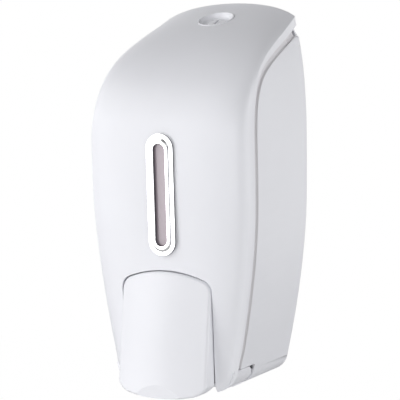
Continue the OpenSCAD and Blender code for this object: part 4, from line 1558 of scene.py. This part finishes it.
# ---------------------------------------------------------------- key lock
@dataclass
class KeyLock:
    """The round key lock in the hood."""

    depth: float = 23.219
    height: float = 228.617
    tilt: float = 24.2715
    bore_span: Tuple[float, float] = (-9.0, 6.0)
    seat_span: Tuple[float, float] = (-1.55, 8.0)
    keyhole: Tuple[float, float] = (1.4, 7.2)
    keyhole_span: Tuple[float, float] = (-5.2, 1.0)

    def place(self) -> Matrix:
        """Where the lock's axis stands: its Z leaves the hood."""
        spot = Vector(to_row(np.array([0.0, -self.depth, self.height])))
        return Matrix.Translation(spot) @ Matrix.Rotation(math.radians(self.tilt), 4, "X")

    def bore_tools(self, neck: float, flange: float) -> List[bpy.types.Object]:
        """Make the tools that bore and spotface the hood.

        Args:
            neck: Radius of the bore in millimetres.
            flange: Radius of the seat in millimetres.

        Returns:
            The two tools.
        """
        tools = []
        for radius, (low, high) in ((neck, self.bore_span), (flange, self.seat_span)):
            start, end = Vector((0, 0, low * MM)), Vector((0, 0, high * MM))
            tool = rod("bore", start, end, radius * MM, vertices=96)
            tool.data.transform(self.place())
            tools.append(tool)
        return tools

    def build(self) -> None:
        """Make the dished cup and the barrel with its keyhole."""
        rim = [(10.7, -1.5), (12.0, -1.5), (12.0, -0.15), (11.9, 0.12), (11.65, 0.28), (11.3, 0.3)]
        dish = [(11.0, 0.15), (10.75, -0.25), (10.45, -1.0), (10.1, -1.9), (9.6, -2.6)]
        well = [(8.9, -3.1), (8.0, -3.35), (7.0, -3.4), (6.05, -3.4), (6.05, -12.6)]
        stem = [(8.5, -12.6), (8.5, -6.9), (10.7, -6.9)]
        cup = turned("cup", rim + dish + well + stem, self.place(), steps=128)
        hand_over(cup, "lock_cup", Finish.LOCK, angle=40.0)
        top = [(0.0, -2.2), (5.2, -2.2), (5.65, -2.3), (5.9, -2.55), (6.0, -2.9)]
        foot = [(6.0, -14.8), (5.8, -15.0), (0.0, -15.0)]
        barrel = turned("barrel", top + foot, self.place())
        (width, length), (low, high) = self.keyhole, self.keyhole_span
        corner, opposite = (-width / 2, -length / 2, low), (width / 2, length / 2, high)
        cut_away(barrel, block("keyhole", corner, opposite, self.place()))
        hand_over(barrel, "lock_barrel", Finish.LOCK, angle=40.0)


# ---------------------------------------------------------------- rear housing
@dataclass
class RearHousing:
    """The housing on the wall, with the shadow groove along its front edge, painted darker as
    shade.
    """

    form: OuterForm
    groove_width: float = 3.2
    groove_depth: float = 1.2
    groove_foot: float = 12.0
    deeper: float = 0.3
    wider: float = 1.3
    rim_gap: float = 0.5
    rounding: float = 0.25
    cheek_from: float = 0.045
    cheek_to: float = 0.12
    cheek_wall: float = 2.5
    cheek_back: float = 3.5

    def build(self) -> bpy.types.Object:
        """Deepen the groove, carry the side walls up under the hood, dress the housing and paint
        shade into the groove.

        Returns:
            The dressed housing.
        """
        housing = merged_copy("rear_housing", 0.1)
        self.deepen_groove(housing)
        for side in (-1.0, 1.0):
            fuse(housing, self.cheek(side))
        round_edges(housing, self.rounding)
        hand_over(housing, "rear_housing", Finish.SHELL)
        # The groove's floor and steps take a darker colour: painted shade.
        tint_faces(housing, Finish.SEAM.material(), self.takes_groove_shade)
        return housing

    def inwards(self, spot: Vector) -> float:
        """Distance of a point in from the side's surface, in millimetres."""
        z = spot.z / MM + FOOT_BELOW_MOUNT
        return float(self.form.half_width(np.array([z]))[0]) - abs(spot.x) / MM

    def deepen_groove(self, housing: bpy.types.Object) -> None:
        """Push the floor of the groove further in and its rear edge back.

        Args:
            housing: The housing to change.
        """
        lowest, rearmost, edge_slack, floor_slack = self.groove_foot + 2, -4.0, 0.25, 0.15
        u = np.linspace(0.0, self.form.heel_at, 600)
        rim, inward = self.form.rim(u), self.form.rim_inward(u)
        for vertex in housing.data.vertices:
            spot = np.array([vertex.co.y / MM, vertex.co.z / MM + FOOT_BELOW_MOUNT])
            depth = self.inwards(vertex.co)
            if spot[1] < lowest or spot[0] > rearmost or depth > self.groove_depth + floor_slack:
                continue
            near = int(np.argmin(np.linalg.norm(rim - spot, axis=1)))
            reach = float(np.dot(spot - rim[near], inward[near]))
            if abs(reach - self.groove_width) < edge_slack:
                vertex.co.y += self.wider * MM * inward[near, 0]
                vertex.co.z += self.wider * MM * inward[near, 1]
            if abs(depth - self.groove_depth) < floor_slack:
                vertex.co.x -= math.copysign(self.deeper * MM, vertex.co.x)

    def takes_groove_shade(self, centre: Vector, normal: Vector) -> bool:
        """Say whether a face is part of the groove's floor or steps.

        Args:
            centre: The face's centre.
            normal: The face's normal.

        Returns:
            Whether it takes the groove's painted shade.
        """
        height = centre.z / MM + FOOT_BELOW_MOUNT
        depth = self.inwards(centre)
        on_side = height > self.groove_foot and centre.y < -3.2 * MM and abs(centre.x) > 38 * MM
        floor = 0.45 < depth < 4.0 and normal.x * centre.x > 0
        step = 0.3 < depth < self.groove_depth + self.deeper and abs(normal.x) < 0.6
        return on_side and (floor or step)

    def cheek(self, side: float) -> bpy.types.Object:
        """Make the top end of one side wall, up under the hood.

        Args:
            side: -1 for the left wall, 1 for the right.

        Returns:
            The cheek, ready to be welded on.
        """
        u = np.linspace(self.cheek_from, self.cheek_to, 6)
        rim, inward = self.form.rim(u), self.form.rim_inward(u)
        groove = rim + (self.groove_width + self.wider) * inward
        floor, wall = self.groove_depth + self.deeper, self.cheek_wall
        rings = []
        for (back_y, back_z), (front_y, front_z) in zip(groove, rim + self.rim_gap * inward):
            back_y, front_y = min(-self.cheek_back, back_y), min(-self.cheek_back, front_y)
            section = [(back_z, 0.0, 0.0), (back_z, 0.0, back_y), (back_z, floor, back_y)]
            section += [(front_z, floor, front_y), (front_z, wall, front_y), (back_z, wall, 0.0)]
            points = []
            for z, depth, y in section:
                x, height = self.form.side_at(z, depth)
                points.append((side * x, y, height))
            rings.append(to_row(np.array(points)))
        return lofted("cheek", rings)


# ---------------------------------------------------------------- inside parts
@dataclass
class InsideParts:
    """Reservoir, pump, fixings and everything else behind the cover."""

    roundings: Tuple[Tuple[str, float], ...] = (
        ("reservoir", 1.2),
        ("reservoir_lid", 0.4),
        ("pump_bracket", 0.4),
        ("pump_body", 0.3),
        ("pump_cap", 0.3),
        ("nozzle_tip", 0.25),
        ("plunger_head", 0.4),
        ("pump_piston", 0.2),
        ("inlet_seat", 0.1),
        ("lock_keeper", 0.25),
        ("lock_cam", 0.2),
        ("lock_nut", 0.25),
        ("keeper_screw", 0.15),
        ("bracket_screws", 0.2),
        ("pump_screws", 0.15),
        ("cam_screw", 0.15),
        ("hinge_pins", 0.3),
        ("push_bar_axle", 0.3),
        ("pusher_pad", 0.4),
        ("lid_gasket", 0.1),
        ("outlet_valve", 0.1),
    )
    smooth_only: Tuple[str, ...] = ("outlet_seal", "piston_seal", "inlet_ball")

    def build(self) -> None:
        """Round and dress each inside part from its CAD shape."""
        for node, width in self.roundings:
            softened(node, width)
        for node in self.smooth_only:
            softened(node)
        for joint in RECORD["behaviour"]["joints"]:
            for entry in joint.get("deforming_nodes", []):
                self.shorten(softened(entry["node"]), joint, entry)

    @staticmethod
    def shorten(
        spring: bpy.types.Object, joint: Dict[str, object], entry: Dict[str, object]
    ) -> None:
        """Give a dressed spring a mesh of its own.

        Args:
            spring: The dressed spring.
            joint: Not used.
            entry: Not used.
        """
        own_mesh(spring)


# ---------------------------------------------------------------- studio
@dataclass(frozen=True)
class SoftLamp:
    """One large soft lamp aimed at the dispenser."""

    name: str
    azimuth: float
    elevation: float
    power: float
    distance: float = 1.3
    size: float = 0.9

    def build(self, target: Vector) -> None:
        """Hang the lamp round the target.

        Args:
            target: The point it is aimed at.
        """
        data = bpy.data.lights.new(self.name, "AREA")
        data.energy = self.power
        data.size = self.size
        aimed(self.name, data, target, towards(self.azimuth, self.elevation), self.distance)


@dataclass
class Studio:
    """Floor, background, lamps and camera."""

    azimuth: float = 26.4
    elevation: float = 3.72
    distance: float = 0.8668
    lens: float = 123.08
    aim: Tuple[float, float, float] = (-0.00065, -0.045, -0.02675)
    ambient: float = 0.25
    ceiling: Tuple[float, float, float, float] = (0.32, 0.7, 1.0, 0.0)
    floor_drop: float = 0.8
    floor_grey: float = 0.6
    floor_glow: float = 1.09
    glow_share: float = 0.9
    lamps: Tuple[SoftLamp, ...] = (
        SoftLamp("front_low", azimuth=-40.0, elevation=-25.0, power=3.5),
        SoftLamp("front_level", azimuth=-40.0, elevation=5.0, power=4.6),
        SoftLamp("front_high", azimuth=-40.0, elevation=35.0, power=2.5),
        SoftLamp("left_high", azimuth=-70.0, elevation=35.0, power=3.0),
        SoftLamp("facing", azimuth=20.0, elevation=5.0, power=4.0),
        SoftLamp("side_low", azimuth=80.0, elevation=-25.0, power=3.9),
        SoftLamp("side_level", azimuth=110.0, elevation=5.0, power=4.6),
        SoftLamp("wall_side", azimuth=190.0, elevation=10.0, power=2.5),
    )

    def build(self) -> None:
        """Set up the stage round the finished dispenser."""
        target = Vector(self.aim)
        for lamp in self.lamps:
            lamp.build(target)
        self.background()
        self.floor()
        self.camera(target)
        bpy.context.scene.view_settings.view_transform = "Standard"

    @staticmethod
    def arithmetic(
        tree: bpy.types.NodeTree, operation: str, *terms: bpy.types.NodeSocket
    ) -> bpy.types.NodeSocket:
        """Add a Math node.

        Args:
            tree: The node tree.
            operation: The node's operation.
            terms: The sockets it takes.

        Returns:
            Its result.
        """
        made = tree.nodes.new("ShaderNodeMath")
        made.operation = operation
        for term, target in zip(terms, made.inputs):
            tree.links.new(term, target)
        return made.outputs[0]

    @staticmethod
    def ranged(
        tree: bpy.types.NodeTree, value: bpy.types.NodeSocket, limits: Sequence[float]
    ) -> bpy.types.NodeSocket:
        """Map a value to another range.

        Args:
            tree: The node tree.
            value: The value to map.
            limits: Two limits it is mapped from and two it is mapped to.

        Returns:
            The mapped value.
        """
        made = tree.nodes.new("ShaderNodeMapRange")
        for name, limit in zip(("From Min", "From Max", "To Min", "To Max"), limits):
            made.inputs[name].default_value = limit
        tree.links.new(value, made.inputs["Value"])
        return made.outputs["Result"]

    def background(self) -> None:
        """White for the camera and clear parts; for gloss white below a dim ceiling; else grey."""
        world = bpy.data.worlds.new("soft_white")
        world.use_nodes = True
        tree = world.node_tree
        light = tree.nodes["Background"]
        path = tree.nodes.new("ShaderNodeLightPath")
        direction = tree.nodes.new("ShaderNodeTexCoord")
        parts = tree.nodes.new("ShaderNodeSeparateXYZ")
        tree.links.new(direction.outputs["Generated"], parts.inputs[0])
        bright = self.ranged(tree, parts.outputs["Z"], self.ceiling)
        seen = self.arithmetic(tree, "MULTIPLY", path.outputs["Is Glossy Ray"], bright)
        for name in ("Is Camera Ray", "Is Transmission Ray"):
            seen = self.arithmetic(tree, "MAXIMUM", seen, path.outputs[name])
        strength = self.ranged(tree, seen, (0.0, 1.0, self.ambient, 1.0))
        tree.links.new(strength, light.inputs["Strength"])
        light.inputs["Color"].default_value = (1.0, 1.0, 1.0, 1.0)
        bpy.context.scene.world = world

    def floor(self) -> None:
        """Pale floor below the dispenser, near white to the camera but with its shadow."""
        low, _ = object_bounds()
        floor = primitive("floor", bpy.ops.mesh.primitive_plane_add, size=8.0)
        floor.data.transform(Matrix.Translation(Vector((0, 0, low.z - self.floor_drop))))
        with editing(floor):
            bpy.ops.mesh.subdivide(number_cuts=3)
        material = bpy.data.materials.new("pale_floor")
        material.use_nodes = True
        tree = material.node_tree
        shader = tree.nodes["Principled BSDF"]
        shader.inputs["Base Color"].default_value = (*[self.floor_grey] * 3, 1.0)
        shader.inputs["Roughness"].default_value = 0.9
        glow = tree.nodes.new("ShaderNodeEmission")
        glow.inputs["Strength"].default_value = self.floor_glow
        path = tree.nodes.new("ShaderNodeLightPath")
        share = self.ranged(tree, path.outputs["Is Camera Ray"], (0.0, 1.0, 0.0, self.glow_share))
        mix = tree.nodes.new("ShaderNodeMixShader")
        for source, target in zip((share, shader.outputs[0], glow.outputs[0]), mix.inputs):
            tree.links.new(source, target)
        tree.links.new(mix.outputs[0], tree.nodes["Material Output"].inputs["Surface"])
        floor.data.materials.append(material)
        floor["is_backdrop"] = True

    def camera(self, target: Vector) -> None:
        """Stand the camera at its azimuth and elevation.

        Args:
            target: The point it is aimed at.
        """
        data = bpy.data.cameras.new("camera")
        data.sensor_width = 36.0
        data.lens = self.lens
        data.clip_start = 0.01
        away = towards(self.azimuth, self.elevation)
        bpy.context.scene.camera = aimed("camera", data, target, away, self.distance)


def main() -> None:
    """Build the dispenser's pieces in order, then the studio."""
    logging.basicConfig(level=logging.INFO, format="%(name)s %(message)s")
    form = OuterForm.from_frame()
    bar, window, lock = PushBar(), LevelWindow(), KeyLock()
    steps: List[Tuple[str, Callable[[], object]]] = [
        ("cover", lambda: FrontCover(form).build(bar, window, lock)),
        ("rear housing", RearHousing(form).build),
        ("push bar", bar.build),
        ("window", window.build),
        ("lock", lock.build),
        ("inside parts", InsideParts().build),
        ("studio", Studio().build),
    ]
    for name, step in steps:
        step()
        LOG.info("%s ready", name)


if __name__ == "__main__":
    main()
